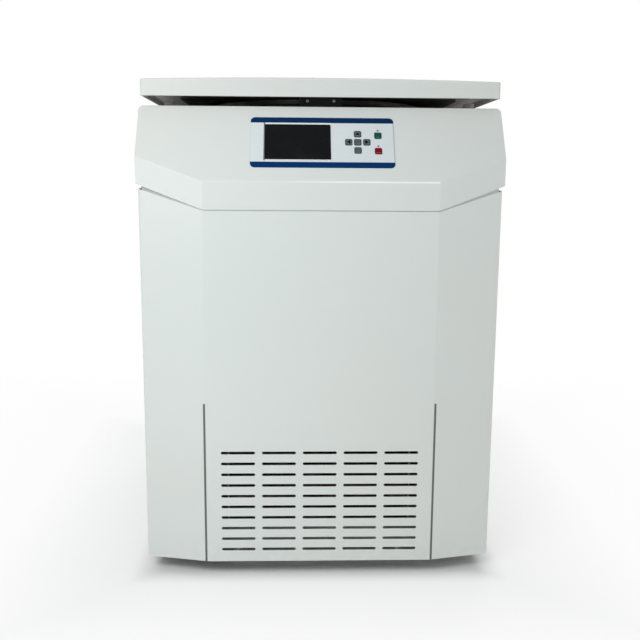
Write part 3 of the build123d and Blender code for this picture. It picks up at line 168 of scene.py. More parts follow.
def finish(name, colour, roughness, **steady):
    """A Principled finish, with every steady value on the shader's own socket."""
    material = bpy.data.materials.new(name)
    material.use_nodes = True
    shader = material.node_tree.nodes["Principled BSDF"]
    shader.inputs["Base Color"].default_value = (*colour, 1)
    shader.inputs["Roughness"].default_value = roughness
    for socket, value in steady.items():
        shader.inputs[socket.replace("_", " ")].default_value = value
    return material, shader, Shade(material.node_tree)


# The floor's own colour and shadow fade to white over three bands round the cabinet's foot.
half_width, half_depth, floor_radius = 0.31, 0.36, 14
floor_paint, shader, start = finish("floor_paint", (0.86, 0.87, 0.87), 0.7)
floor_x, floor_y, _ = split(start, start.node("ShaderNodeTexCoord", {}, {}, "Object"))
clear_of_foot = start.math("MAXIMUM", abs(floor_x) - half_width, abs(floor_y) - half_depth)
white_share = 0
for near, far, gain in ((-0.02, 0.03, 0.6), (0.03, 0.3, 0.33), (0.3, 0.8, 0.07)):
    white_share = white_share + start.node(
        "ShaderNodeMapRange", {},
        {"Value": clear_of_foot, "From Min": near, "From Max": far, "To Max": gain},
    )
floor_seen = white_to_the_eye(start.tree, Shade(start.tree, shader.outputs[0]), white_share)
floor_seen.to(start.tree.nodes["Material Output"], "Surface")
floor_form = bmesh.new()
bmesh.ops.create_circle(floor_form, cap_ends=True, segments=64, radius=floor_radius)
floor_mesh = bpy.data.meshes.new("floor")
floor_form.to_mesh(floor_mesh)
floor_mesh.materials.append(floor_paint)
floor = bpy.data.objects.new("floor", floor_mesh)
studio.collection.objects.link(floor)

# ---------------------------------------------------------------- base frame
# The chassis is folded from 3 mm steel: a pan on a flanged skirt, four corner posts and the
# rails that carry the motor's bridge. It is welded and sprayed in grey primer.


def place(shade, stretch=(1, 1, 1)):
    """The point's place in metres. A stretch over 1 packs a pattern closer along that axis."""
    at = shade.node("ShaderNodeTexCoord", {}, {}, "Object")
    return shade.node("ShaderNodeVectorMath", {"operation": "MULTIPLY"}, {0: at, 1: stretch})


def grain(shade, scale, detail=2, stretch=(1, 1, 1), at=None):
    """Noise from 0 to 1, with this many features to the metre."""
    at = at or place(shade, stretch)
    sockets = {"Vector": at, "Scale": scale, "Detail": detail}
    return shade.node("ShaderNodeTexNoise", {}, sockets, "Fac")


def blend(shade, factor, first, second):
    """A colour that passes from the first to the second as the factor goes from 0 to 1."""
    first, second = ((*c, 1) if isinstance(c, tuple) else c for c in (first, second))
    return shade.node(
        "ShaderNodeMix", {"data_type": "RGBA"}, {"Factor": factor, 6: first, 7: second}, 2
    )


def ramped(shade, value, foot, top, low=0, high=1):
    """Low up to the foot, high beyond the top, and smooth in between."""
    sockets = {"Value": value, "From Min": foot, "From Max": top, "To Min": low, "To Max": high}
    return shade.node("ShaderNodeMapRange", {"interpolation_type": "SMOOTHSTEP"}, sockets)


def spread(shade, noise, low=0, high=1):
    """The range that noise mostly keeps to, carried over to low and high."""
    return ramped(shade, noise, 0.3, 0.7, low, high)


def relief(shade, height, depth):
    """The surface's normal over a height map that is this many metres deep."""
    return shade.node("ShaderNodeBump", {}, {"Height": height, "Distance": depth}, "Normal")


def dress(material, *names):
    """Puts a finish on CAD pieces."""
    for name in names:
        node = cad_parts[name]
        if not node.material_slots:
            node.data.materials.append(material)
        for slot in node.material_slots:
            slot.material = material


primer, shader, start = finish("frame_primer", (0.33, 0.35, 0.35), 0.55)
patches = grain(start, 9, 3)
primer_tone = blend(start, spread(start, patches), (0.29, 0.31, 0.31), (0.37, 0.39, 0.385))
primer_tone.to(shader, "Base Color")
spread(start, patches, 0.5, 0.64).to(shader, "Roughness")
relief(start, grain(start, 700, 3), 0.00006).to(shader, "Normal")
dress(primer, "base_frame")

# ---------------------------------------------------------------- castors and feet
# Four swivel castors are bolted under the pan: zinc-plated forks on ball races, with dark nylon
# wheels turning on plain axles. Two screwed feet beside the front castors level the cabinet.
zinc, shader, start = finish("zinc_plate", (0.62, 0.63, 0.66), 0.38, Metallic=1.0)
crystals = start.node("ShaderNodeTexVoronoi", {}, {"Vector": place(start), "Scale": 160}, "Color")
patch = start.node("ShaderNodeSeparateColor", {}, {0: crystals})
crystal_tone = patch * 0.5 + grain(start, 25) * 0.5
blend(start, crystal_tone, (0.62, 0.63, 0.66), (0.47, 0.49, 0.52)).to(shader, "Base Color")
rolling_marks = grain(start, 60, 3, (1, 18, 18))
spread(start, rolling_marks, 0.3, 0.48).to(shader, "Roughness")
relief(start, rolling_marks, 0.00004).to(shader, "Normal")
corners = ("front_left", "front_right", "rear_left", "rear_right")
dress(zinc, "castor_plates", "levelling_feet", *(f"castor_fork_{corner}" for corner in corners))


def piece(name, form, body, slot, *finishes):
    """Makes a mesh a piece of the object, with soft shading that breaks at its creases."""
    bmesh.ops.remove_doubles(form, verts=form.verts, dist=1e-6)
    bmesh.ops.recalc_face_normals(form, faces=form.faces)
    mesh = bpy.data.meshes.new(name)
    form.to_mesh(mesh)
    form.free()
    mesh.shade_smooth()
    mesh.set_sharp_from_angle(angle=radians(35))
    for material in finishes:
        mesh.materials.append(material)
    made = bpy.data.objects.new(name, mesh)
    studio.collection.objects.link(made)
    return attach(made, body)


def skin(form, loops, closed=False, capped=True, material=0):
    """Joins matching loops of points into one surface, closed into a tube or capped at its ends."""
    rows = [[form.verts.new(point) for point in loop] for loop in loops]
    for low, high in zip(rows, rows[1:] + rows[:1] if closed else rows[1:]):
        for i in range(len(low)):
            j = (i + 1) % len(low)
            form.faces.new((low[i], low[j], high[j], high[i])).material_index = material
    if capped and not closed:
        form.faces.new(rows[0]).material_index = material
        form.faces.new(rows[-1]).material_index = material


def turned(centre, axis, profile, steps=32):
    """The loops of a turned piece: each profile point is (radius, distance along the axis)."""
    axis = Vector(axis)
    across = axis.orthogonal().normalized()
    other = axis.cross(across)
    turns = [2 * pi * i / steps for i in range(steps)]
    return [
        [centre + along * axis + radius * (cos(t) * across + sin(t) * other) for t in turns]
        for radius, along in profile
    ]


nylon, shader, start = finish("dark_nylon", (0.035, 0.036, 0.04), 0.5)
scuffs = spread(start, grain(start, 240, 4))
blend(start, scuffs, (0.03, 0.031, 0.034), (0.075, 0.076, 0.08)).to(shader, "Base Color")
(scuffs * 0.25 + 0.42).to(shader, "Roughness")
relief(start, grain(start, 900), 0.00005).to(shader, "Normal")
cream, shader, start = finish("hub_nylon", (0.5, 0.5, 0.48), 0.45)
spread(start, grain(start, 300, 3), 0.38, 0.55).to(shader, "Roughness")
relief(start, grain(start, 700), 0.00004).to(shader, "Normal")

bore = 0.0041
for corner in corners:
    low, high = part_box(f"castor_wheel_{corner}")
    hub, radius, half = (low + high) / 2, (high.z - low.z) / 2, (high.x - low.x) / 2
    wheel = bmesh.new()
    half_tread = [
        (radius - 0.0075, 0.55 * half), (radius - 0.006, 0.8 * half), (radius - 0.002, 0.78 * half),
        (radius - 0.0006, 0.6 * half), (radius, 0.25 * half),
    ]
    half_core = [
        (bore, half), (bore + 0.005, half), (bore + 0.006, 0.75 * half), (bore + 0.0065, 0.35 * half),
        (radius - 0.011, 0.3 * half), (radius - 0.0095, 0.6 * half), (radius - 0.0075, 0.6 * half),
    ]
    for material, outline in enumerate((half_tread, half_core)):
        whole = outline + [(r, -along) for r, along in reversed(outline)]
        skin(wheel, turned(hub, (1, 0, 0), whole, 48), closed=True, material=material)
    rolling = piece(f"wheel_{corner}", wheel, f"wheel_{corner}", "wheel_plastic", nylon, cream)
    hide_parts(f"castor_wheel_{corner}")


def tree_with(name, **inputs):
    """An empty geometry tree with named inputs, and short ways to add nodes and to close it."""
    tree = bpy.data.node_groups.new(name, "GeometryNodeTree")
    tree.interface.new_socket("Geometry", in_out="INPUT", socket_type="NodeSocketGeometry")
    for label, kind in inputs.items():
        tree.interface.new_socket(label, in_out="INPUT", socket_type=f"NodeSocket{kind}")
    tree.interface.new_socket("Geometry", in_out="OUTPUT", socket_type="NodeSocketGeometry")
    given, kept = tree.nodes.new("NodeGroupInput"), tree.nodes.new("NodeGroupOutput")

    def add(kind, settings=(), **sockets):
        made = tree.nodes.new(kind)
        for label, value in dict(settings).items():
            setattr(made, label, value)
        for label, value in sockets.items():
            socket = made.inputs[label.replace("_", " ")]
            if isinstance(value, bpy.types.NodeSocket):
                tree.links.new(value, socket)
            else:
                socket.default_value = value
        return made

    def close(instances, material):
        whole = add("GeometryNodeRealizeInstances", Geometry=instances)
        coated = add("GeometryNodeSetMaterial", Geometry=whole.outputs[0], Material=material)
        tree.links.new(coated.outputs[0], kept.inputs[0])

    return tree, given.outputs, add, close


def grown(name, tree, seed, body, slot, **inputs):
    """Runs a tree on a seed mesh, and keeps what it grows as one plain piece."""
    made = bpy.data.objects.new(name, seed)
    studio.collection.objects.link(made)
    modifier = made.modifiers.new("pattern", "NODES")
    modifier.node_group = tree
    for item in tree.interface.items_tree:
        if item.in_out == "INPUT" and item.name in inputs:
            modifier[item.identifier] = inputs[item.name]
    graph = bpy.context.evaluated_depsgraph_get()
    result = bpy.data.meshes.new_from_object(made.evaluated_get(graph))
    made.modifiers.remove(modifier)
    made.data = result
    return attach(made, body)


# Screw heads are set on points, each turned to face the way that its point says.
heads, given, add, close = tree_with("heads_on_points", Head="Object", Finish="Material")
pattern_head = add("GeometryNodeObjectInfo", Object=given["Head"])
facing = add("GeometryNodeInputNamedAttribute", {"data_type": "FLOAT_VECTOR"}, Name="facing")
turned_out = add("FunctionNodeAlignRotationToVector", {"axis": "Z"}, Vector=facing.outputs[0])
set_in = add("GeometryNodeInstanceOnPoints", Points=given["Geometry"],
             Instance=pattern_head.outputs["Geometry"], Rotation=turned_out.outputs[0])
close(set_in.outputs[0], given["Finish"])


def button_head(radius, height):
    """A button head that stands on its origin and faces +Z, with a hexagon socket."""
    dome = [(radius, 0), (0.98 * radius, 0.25 * height), (0.8 * radius, 0.8 * height),
            (0.55 * radius, height)]
    loops = turned(Vector(), (0, 0, 1), dome, 12)
    ways = [Vector((x, y, 0)).normalized() for x, y, _ in loops[0]]
    socket_flat, socket_deep = 0.34 * radius, 0.4 * height
    socket_corner = socket_flat / cos(pi / 6)
    for level in (height, height - socket_deep):
        loops.append([
            way * (socket_flat if i % 2 else socket_corner) + Vector((0, 0, level))
            for i, way in enumerate(ways)
        ])
    form = bmesh.new()
    skin(form, loops)
    bmesh.ops.recalc_face_normals(form, faces=form.faces)
    mesh = bpy.data.meshes.new("button_head")
    form.to_mesh(mesh)
    return bpy.data.objects.new("button_head", mesh)


def screws(name, spots, body, finish_used, radius, height):
    """One head at each spot, which is a place and the way that the head faces."""
    head = button_head(radius, height)
    studio.collection.objects.link(head)
    seed = bpy.data.meshes.new(name)
    seed.from_pydata([spot for spot, _ in spots], [], [])
    facing_out = seed.attributes.new("facing", "FLOAT_VECTOR", "POINT")
    for i, (_, way) in enumerate(spots):
        facing_out.data[i].vector = way
    made = grown(name, heads, seed, body, "bright_steel", Head=head, Finish=finish_used)
    bpy.data.objects.remove(head)
    return made


bright, shader, start = finish("bright_plated_steel", (0.7, 0.7, 0.72), 0.25, Metallic=1.0)
spread(start, grain(start, 900, 2), 0.18, 0.34).to(shader, "Roughness")
blend(start, grain(start, 200, 2), (0.62, 0.62, 0.63), (0.75, 0.75, 0.77)).to(shader, "Base Color")

# Four bolts hold each castor's plate up against the pan.
castor_x, castor_y, bolt_x, bolt_y = 0.225, 0.262, 0.037, 0.032
castor_plate_sheet = 0.003
plate_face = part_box("castor_plates")[1].z - castor_plate_sheet
bolt_spots = [
    ((side * castor_x + a * bolt_x, end * castor_y + b * bolt_y, plate_face), (0, 0, -1))
    for side in (-1, 1) for end in (-1, 1) for a in (-1, 1) for b in (-1, 1)
]
screws("castor_bolts", bolt_spots, "cabinet", bright, radius=0.0045, height=0.0022)

# ---------------------------------------------------------------- drive
# A brushless motor hangs from a flange on three rubber dampers, over a folded bridge. Its cast
# body has cooling ribs all round, and is stoved in dark grey enamel.
dress(zinc, "motor_bridge")
enamel, shader, start = finish("motor_enamel", (0.05, 0.055, 0.06), 0.4, Coat_Weight=0.2)
blend(start, grain(start, 12, 3), (0.04, 0.045, 0.05), (0.07, 0.075, 0.08)).to(shader, "Base Color")
relief(start, grain(start, 500, 2), 0.00012).to(shader, "Normal")
dress(enamel, "drive_motor")

rubber, shader, start = finish("black_rubber", (0.018, 0.018, 0.019), 0.6, Sheen_Weight=0.1)
bloom = grain(start, 35, 4)
blend(start, bloom, (0.014, 0.014, 0.015), (0.03, 0.03, 0.031)).to(shader, "Base Color")
spread(start, bloom, 0.5, 0.7).to(shader, "Roughness")
relief(start, grain(start, 1200, 2), 0.00003).to(shader, "Normal")
dress(rubber, "motor_dampers", "chamber_gasket")

# The ribs are thin plates in a ring, each turned to face away from the axis.
ribs, given, add, close = tree_with(
    "ribs_round_a_body", Count="Int", Ring="Float", Rib="Vector", Centre="Vector", Finish="Material"
)
ring = add(
    "GeometryNodeMeshCircle", {"fill_type": "NONE"}, Vertices=given["Count"], Radius=given["Ring"]
)
rib = add("GeometryNodeMeshCube", Size=given["Rib"])
on_ring = add("GeometryNodeInputPosition")
outward = add("FunctionNodeAlignRotationToVector", {"axis": "X"}, Vector=on_ring.outputs[0])
standing = add("GeometryNodeInstanceOnPoints", Points=ring.outputs[0], Instance=rib.outputs[0],
               Rotation=outward.outputs[0])
moved = add("GeometryNodeTransform", Geometry=standing.outputs[0], Translation=given["Centre"])
close(moved.outputs[0], given["Finish"])

motor_low, motor_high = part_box("drive_motor")
motor_centre = (motor_low + motor_high) / 2
body_radius, flange_top, body_top = 0.095, motor_low.z + 0.008, motor_low.z + 0.150
rib_out, rib_deep, rib_thick, rib_short = 0.004, 0.010, 0.0022, 0.012
grown(
    "motor_ribs", ribs, bpy.data.meshes.new("motor_ribs"), "cabinet", "motor_paint",
    Count=40, Ring=body_radius + rib_out,
    Rib=(rib_deep, rib_thick, body_top - flange_top - rib_short),
    Centre=(motor_centre.x, motor_centre.y, (flange_top + body_top) / 2), Finish=enamel,
)

# ---------------------------------------------------------------- refrigeration
# Behind the grille stands a condenser of thin pressed fins on copper tubes. The fins are painted
# black as shade, with bright specks as painted highlights. A moulded shroud and fan draw air
# through it for the hermetic compressor.
fin_shade, shader, start = finish("fin_painted_shade", (0.02, 0.02, 0.022), 0.45, Metallic=0.2)
speck_cells = start.node(
    "ShaderNodeTexVoronoi", {"feature": "F1"}, {"Vector": place(start, (1, 1, 0.5)), "Scale": 55}
)
# The bright specks are painted highlights on the fins' painted black shade.
lit_specks = (speck_cells < 0.13) * (grain(start, 18, 2) > 0.56)
blend(start, lit_specks, (0.02, 0.02, 0.022), (0.55, 0.56, 0.58)).to(shader, "Base Color")
spread(start, grain(start, 90), 0.35, 0.6).to(shader, "Roughness")
relief(start, grain(start, 400), 0.0001).to(shader, "Normal")
copper, shader, start = finish("copper_tube", (0.2, 0.11, 0.08), 0.45, Metallic=1.0)
tarnish = grain(start, 40, 4)
copper_tone = blend(start, spread(start, tarnish), (0.3, 0.16, 0.11), (0.06, 0.04, 0.035))
copper_tone.to(shader, "Base Color")
spread(start, tarnish, 0.38, 0.6).to(shader, "Roughness")

# The fins are upright plates in a row, with a little scatter in their lean.
fins, given, add, close = tree_with(
    "fins_in_a_row", Count="Int", First="Vector", Step="Vector", Plate="Vector", Lean="Float",
    Finish="Material",
)
row = add("GeometryNodeMeshLine", {"mode": "OFFSET"}, Count=given["Count"],
          Start_Location=given["First"], Offset=given["Step"])
plate = add("GeometryNodeMeshCube", Size=given["Plate"])
scatter = add("FunctionNodeRandomValue", {"data_type": "FLOAT"}, Seed=7)
scatter.inputs[2].default_value, scatter.inputs[3].default_value = -1, 1
full_turn = add("ShaderNodeCombineXYZ", Z=scatter.outputs[1])
turn = add("ShaderNodeVectorMath", {"operation": "SCALE"}, Vector=full_turn.outputs[0],
           Scale=given["Lean"])
standing = add("GeometryNodeInstanceOnPoints", Points=row.outputs[0], Instance=plate.outputs[0],
               Rotation=turn.outputs[0])
close(standing.outputs[0], given["Finish"])

low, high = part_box("condenser")
core, size = (low + high) / 2, high - low
fin_count, fin_sheet, fin_margin, fin_inset_y, fin_inset_z = 118, 0.0003, 0.003, 0.0005, 0.001
fin_step = (size.x - 2 * fin_margin) / (fin_count - 1)
fin_pack = grown(
    "condenser_fins", fins, bpy.data.meshes.new("condenser_fins"), "cabinet", "fin_aluminium",
    Count=fin_count, First=(low.x + fin_margin, core.y, core.z), Step=(fin_step, 0, 0),
    Plate=(fin_sheet, size.y - 2 * fin_inset_y, size.z - 2 * fin_inset_z), Lean=0.02,
    Finish=fin_shade,
)
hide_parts("condenser")

tubes = bmesh.new()
tube_rows, tube_radius, tube_inset = 8, 0.0042, 0.0002
tube_ends = [(tube_radius, 0), (tube_radius, size.x - 2 * tube_inset)]
for i in range(tube_rows):
    for depth in (-0.25, 0.25):
        tube_y, tube_z = core.y + depth * size.y, low.z + size.z * (i + 0.5) / tube_rows
        skin(tubes, turned(Vector((low.x + tube_inset, tube_y, tube_z)), (1, 0, 0), tube_ends, 12))
piece("condenser_tubes", tubes, "cabinet", "fin_aluminium", copper)
ends, end_sheet = bmesh.new(), 0.0016
for x in (low.x + end_sheet / 2, high.x - end_sheet / 2):
    end_size = Matrix.Diagonal((end_sheet, size.y, size.z, 1))
    bmesh.ops.create_cube(ends, size=1, matrix=Matrix.Translation((x, core.y, core.z)) @ end_size)
piece("condenser_ends", ends, "cabinet", "fin_aluminium", zinc)

black, shader, start = finish("black_moulding", (0.02, 0.02, 0.021), 0.5)
spread(start, grain(start, 120, 3), 0.42, 0.6).to(shader, "Roughness")
relief(start, grain(start, 1600, 1), 0.00004).to(shader, "Normal")
dress(black, "fan_shroud", "condenser_fan", "power_inlet")

gloss_black, shader, start = finish("gloss_black_enamel", (0.012, 0.012, 0.013), 0.22, Coat_Weight=0.5)
relief(start, grain(start, 45, 2), 0.0004).to(shader, "Normal")
spread(start, grain(start, 20, 3), 0.16, 0.34).to(shader, "Roughness")
dress(gloss_black, "compressor")

# ---------------------------------------------------------------- power electronics
# The inverter sits in a die-cast aluminium box with a finned top, still in its blasted skin. The
# control board behind the console is green, with its tracks showing through the solder mask.
cast, shader, start = finish("die_cast_aluminium", (0.5, 0.51, 0.53), 0.5, Metallic=0.9)
skin_marks = grain(start, 60, 5)
blend(start, skin_marks, (0.42, 0.43, 0.45), (0.6, 0.61, 0.63)).to(shader, "Base Color")
spread(start, skin_marks, 0.42, 0.62).to(shader, "Roughness")
relief(start, grain(start, 900, 3), 0.00008).to(shader, "Normal")
dress(cast, "inverter_box")

board_green, shader, start = finish("solder_mask", (0.02, 0.16, 0.07), 0.3, Coat_Weight=0.3)
tracks = start.node(
    "ShaderNodeTexVoronoi", {"feature": "DISTANCE_TO_EDGE"}, {"Vector": place(start), "Scale": 160},
    "Distance",
)
blend(start, tracks < 0.05, (0.018, 0.15, 0.065), (0.03, 0.22, 0.1)).to(shader, "Base Color")
spread(start, grain(start, 200, 2), 0.24, 0.4).to(shader, "Roughness")
dress(board_green, "control_board")

# ---------------------------------------------------------------- bowl
# The bowl is spun from stainless sheet, so its marks run round it. It hangs by its flange in
# rigid foam, inside a thick rolled steel guard, and a round rubber gasket lies on the flange.
bowl_low, bowl_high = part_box("chamber_liner")
bowl_axis = (bowl_low + bowl_high) / 2


def round_marks(shade, scale, detail=2):
    """Noise that depends only on the distance from the bowl's axis and the height: turned rings."""
    x, y, height = split(shade, place(shade))
    away_x, away_y = x - bowl_axis.x, y - bowl_axis.y
    radius = shade.math("SQRT", away_x * away_x + away_y * away_y)
    at = shade.node("ShaderNodeCombineXYZ", {}, {"X": radius, "Y": height})
    return grain(shade, scale, detail, at=at)


stainless, shader, start = finish("spun_stainless", (0.66, 0.66, 0.65), 0.3, Metallic=1.0)
rings = round_marks(start, 900, 3)
clouds = grain(start, 14, 3)
blend(start, clouds, (0.6, 0.6, 0.59), (0.72, 0.72, 0.715)).to(shader, "Base Color")
(spread(start, rings, 0, 0.1) + spread(start, clouds, 0.22, 0.34)).to(shader, "Roughness")
relief(start, rings, 0.00003).to(shader, "Normal")
dress(stainless, "chamber_liner")

rolled, shader, start = finish("rolled_steel", (0.2, 0.2, 0.21), 0.5, Metallic=0.9)
scale_marks = grain(start, 18, 5, (1, 1, 0.4))
rolled_tone = blend(start, spread(start, scale_marks), (0.12, 0.12, 0.13), (0.32, 0.31, 0.3))
rolled_tone.to(shader, "Base Color")
spread(start, scale_marks, 0.4, 0.65).to(shader, "Roughness")
relief(start, grain(start, 150, 4), 0.0001).to(shader, "Normal")
dress(rolled, "guard_ring")

foam, shader, start = finish("rigid_foam", (0.72, 0.62, 0.36), 0.9)
cells = start.node("ShaderNodeTexVoronoi", {}, {"Vector": place(start), "Scale": 900}, "Distance")
blend(start, grain(start, 12, 4), (0.76, 0.68, 0.42), (0.6, 0.5, 0.27)).to(shader, "Base Color")
relief(start, cells, 0.0003).to(shader, "Normal")
dress(foam, "chamber_insulation")

pale_plastic, shader, start = finish("pale_moulding", (0.68, 0.69, 0.68), 0.42)
spread(start, grain(start, 80, 3), 0.36, 0.5).to(shader, "Roughness")
relief(start, grain(start, 1100, 2), 0.00003).to(shader, "Normal")
dress(pale_plastic, "drain_spigot")

# ---------------------------------------------------------------- rotor
# The swing-out head is machined from aluminium plate and clear anodised, with ground steel
# trunnions, shaft and nut. Four folded aluminium carriers hang on it by their ears.
anodised, shader, start = finish("clear_anodised", (0.6, 0.62, 0.64), 0.32, Metallic=1.0)
cutter_marks = round_marks(start, 1500, 1)
blend(start, grain(start, 20, 2), (0.56, 0.58, 0.6), (0.64, 0.66, 0.68)).to(shader, "Base Color")
spread(start, cutter_marks, 0.26, 0.4).to(shader, "Roughness")
relief(start, cutter_marks, 0.00002).to(shader, "Normal")
dress(anodised, "rotor_yoke")

carrier_skin, shader, start = finish("blasted_anodised", (0.5, 0.52, 0.55), 0.45, Metallic=1.0)
blasted = grain(start, 1500, 2)
blend(start, grain(start, 16, 3), (0.44, 0.46, 0.49), (0.55, 0.57, 0.6)).to(shader, "Base Color")
spread(start, blasted, 0.4, 0.52).to(shader, "Roughness")
relief(start, blasted, 0.00003).to(shader, "Normal")
dress(carrier_skin, *(f"plate_carrier_{n}" for n in (1, 2, 3, 4)))

ground, shader, start = finish("ground_steel", (0.56, 0.56, 0.57), 0.22, Metallic=1.0)
spread(start, round_marks(start, 2500, 1), 0.16, 0.32).to(shader, "Roughness")
blend(start, grain(start, 30, 3), (0.5, 0.5, 0.51), (0.6, 0.6, 0.61)).to(shader, "Base Color")
dress(ground, "drive_shaft", "rotor_nut")

# ---------------------------------------------------------------- cabinet panels
# Front, sides and rear are folded 1.5 mm sheet in a pale grey powder coat: semi-matt, with the
# fine even texture of baked powder, and darkened on the lid as painted shade. The walls of the
# slots low in the front are painted dark as shade, and a painted highlight runs along the
# console's fold, strongest on the right.
powder, shader, start = finish(
    "pale_powder_coat", (0.7, 0.745, 0.722), 0.42, Coat_Weight=0.25, Coat_Roughness=0.18
)
front_y, panel_sheet = -half_depth, 0.0015
sideways, depth, height_over_floor = split(start, place(start))
into_sheet = depth - front_y
drift, speck = grain(start, 2.2, 3), grain(start, 1500, 2)
toned = blend(start, spread(start, drift), (0.695, 0.75, 0.732), (0.71, 0.74, 0.712))
near_floor = start.math("MAXIMUM", 1.1 - height_over_floor * 14, 0)
dust = spread(start, grain(start, 60, 4)) * near_floor
dusted = blend(start, dust * 0.16, toned, (0.5, 0.49, 0.46))
flecked = blend(start, (speck > 0.64) * 0.05, dusted, (0.45, 0.48, 0.47))

# The slot walls, just behind the front face and low on it, are painted near black as shade.
edge_start, edge_end, over_slots = 0.0003, 0.0012, 0.32
slot_wall_shade = (into_sheet > edge_start) * (into_sheet < edge_end) * (height_over_floor < over_slots)
slot_shaded = blend(start, slot_wall_shade * 0.9, flecked, (0.03, 0.03, 0.032))
# A painted highlight runs along the console's fold, growing stronger towards the right.
fold_z, fold_half, fold_end = 0.7028, 0.0014, 0.1985
console_fold = (into_sheet < edge_end) * (abs(height_over_floor - fold_z) < fold_half)
fold_highlight_spread = ramped(start, sideways, -0.09, 0.09, 0.1, 0.85)
fold_highlight = console_fold * (abs(sideways) < fold_end) * fold_highlight_spread
fold_highlighted = blend(start, fold_highlight, slot_shaded, (0.96, 0.98, 0.96))
deck_top, clear_of_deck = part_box("top_deck")[1].z, 0.0012
# Everything above the deck, the lid, is darkened as painted shade.
lid_painted_shade = (height_over_floor > deck_top + clear_of_deck) * 0.2
blend(start, lid_painted_shade, fold_highlighted, (0.42, 0.45, 0.43)).to(shader, "Base Color")
(spread(start, grain(start, 30, 4), 0.4, 0.5) + dust * 0.2).to(shader, "Roughness")
orange_peel = grain(start, 420, 1) * 0.7 + speck * 0.3
relief(start, orange_peel, 0.00005).to(shader, "Normal")
dress(powder, "front_panel", "left_side_panel", "right_side_panel", "rear_panel", "control_header")

# A lip along the top of the front sheet steps back under the console and closes the seam. It
# lies deeper on the left.
facet_x, facet_recede = 0.199, 0.026
seam_z, seam_rise, console_rise = 0.654, 0.035, 0.043
lip_back, lip_sheet, lip_end = panel_sheet + 0.0004, 0.001, 0.304
lip_drop, lip_over, left_depth, right_depth = 0.012, 0.0012, 0.0055, 0.0016
lip_loops = []
for x in (-lip_end, -facet_x, facet_x, lip_end):
    along = max(abs(x) - facet_x, 0) / (half_width - facet_x)
    lip_y = front_y + (facet_recede + (left_depth if x < 0 else right_depth)) * along + lip_back
    foot_z, top_z = seam_z + seam_rise * along - lip_drop, seam_z + lip_over + console_rise * along
    lip_loops.append([
        Vector((x, lip_y, foot_z)), Vector((x, lip_y, top_z)),
        Vector((x, lip_y + lip_sheet, top_z)), Vector((x, lip_y + lip_sheet, foot_z)),
    ])
lip = bmesh.new()
skin(lip, lip_loops)
piece("seam_lip", lip, "cabinet", "cabinet_paint", powder)

# Zinc-plated screws hold the panels where their hems meet the frame.
side_low, side_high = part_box("left_side_panel")
rear_face, hem, row_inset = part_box("rear_panel")[1].y, 0.018, 0.04
low_row, rail_row, top_row = 0.0753, 0.363, 0.799
side_rows = (side_low.y + row_inset, (side_low.y + side_high.y) / 2, side_high.y - row_inset)
side_spots = [
    ((side * half_width, y, z), (side, 0, 0)) for side in (-1, 1) for y in side_rows
    for z in (low_row, rail_row)
]
rear_spots = [
    ((side * (half_width - hem), rear_face, z), (0, 1, 0)) for side in (-1, 1)
    for z in (low_row, rail_row, top_row)
]
panel_heads = screws(
    "panel_heads", side_spots + rear_spots, "cabinet", bright, radius=0.004, height=0.0022
)
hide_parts("panel_screws")

# ---------------------------------------------------------------- console
# The sloping face of the folded console carries a printed polyester film with two blue bands.
# The caps of seven short-stroke switches and a framed display come up through windows in it.
slope_foot = Vector((0, front_y, 0.703))
slope_up, slope_out = Vector((0, 0.5547, 0.8321)), Vector((0, -0.8321, 0.5547))
film_centre, film_half, film_sheet = (0.0018, 0.0778), (0.1225, 0.0505), 0.0008
band_width, band_edge_half, right_edge_shade_width, left_edge_shade_width = 0.0112, 0.0003, 0.0011, 0.0006


def slope_point(x, up, out=0):
    """A point that is this far to the right, up the slope, and out from it."""
    return slope_foot + x * Vector((1, 0, 0)) + up * slope_up + out * slope_out


def on_slope(shade, centre):
    """How far the point is from a centre on the sloping face: to the right, and up the slope."""
    from_centre = shade.node(
        "ShaderNodeVectorMath", {"operation": "SUBTRACT"}, {0: place(shade), 1: slope_point(*centre)}
    )
    up = shade.node(
        "ShaderNodeVectorMath", {"operation": "DOT_PRODUCT"}, {0: from_centre, 1: slope_up}, "Value"
    )
    return split(shade, from_centre)[0], up


film, shader, start = finish("printed_film", (0.7, 0.76, 0.775), 0.4, Specular_IOR_Level=0.04)
across, up = on_slope(start, film_centre)
band = abs(up) > film_half[1] - band_width
band_edge = abs(abs(up) - (film_half[1] - band_width)) < band_edge_half
# Thin painted shade lies along the film's side edges, darker on the right.
right_edge_shade = across > film_half[0] - right_edge_shade_width
left_edge_shade = across < left_edge_shade_width - film_half[0]
haze = grain(start, 40, 3)
white_print = blend(start, haze, (0.715, 0.78, 0.8), (0.74, 0.805, 0.825))
edge_shaded = blend(start, right_edge_shade * 0.55 + left_edge_shade * 0.2, white_print, (0.2, 0.22, 0.23))
blue_print = blend(start, up > 0, (0.0005, 0.032, 0.135), (0.002, 0.023, 0.09))
blue_print = blend(start, haze * 0.3, blue_print, (0.002, 0.035, 0.14))
banded = blend(start, band, edge_shaded, blue_print)
blend(start, band_edge * 0.5, banded, (0.78, 0.82, 0.85)).to(shader, "Base Color")
spread(start, grain(start, 300, 3), 0.34, 0.46).to(shader, "Roughness")
relief(start, grain(start, 1900, 1), 0.00002).to(shader, "Normal")
dress(film, "control_overlay")

# The display's pale frame laps over the film's cut edge, and slopes down to the dark glass.
display_centre, display_half, display_corner = (-0.040, 0.079), (0.057, 0.037), 0.0016
shaded_side_width = 0.0014
frame_moulding, shader, start = finish("frame_moulding", (0.7, 0.75, 0.77), 0.35)
aside, _ = on_slope(start, display_centre)
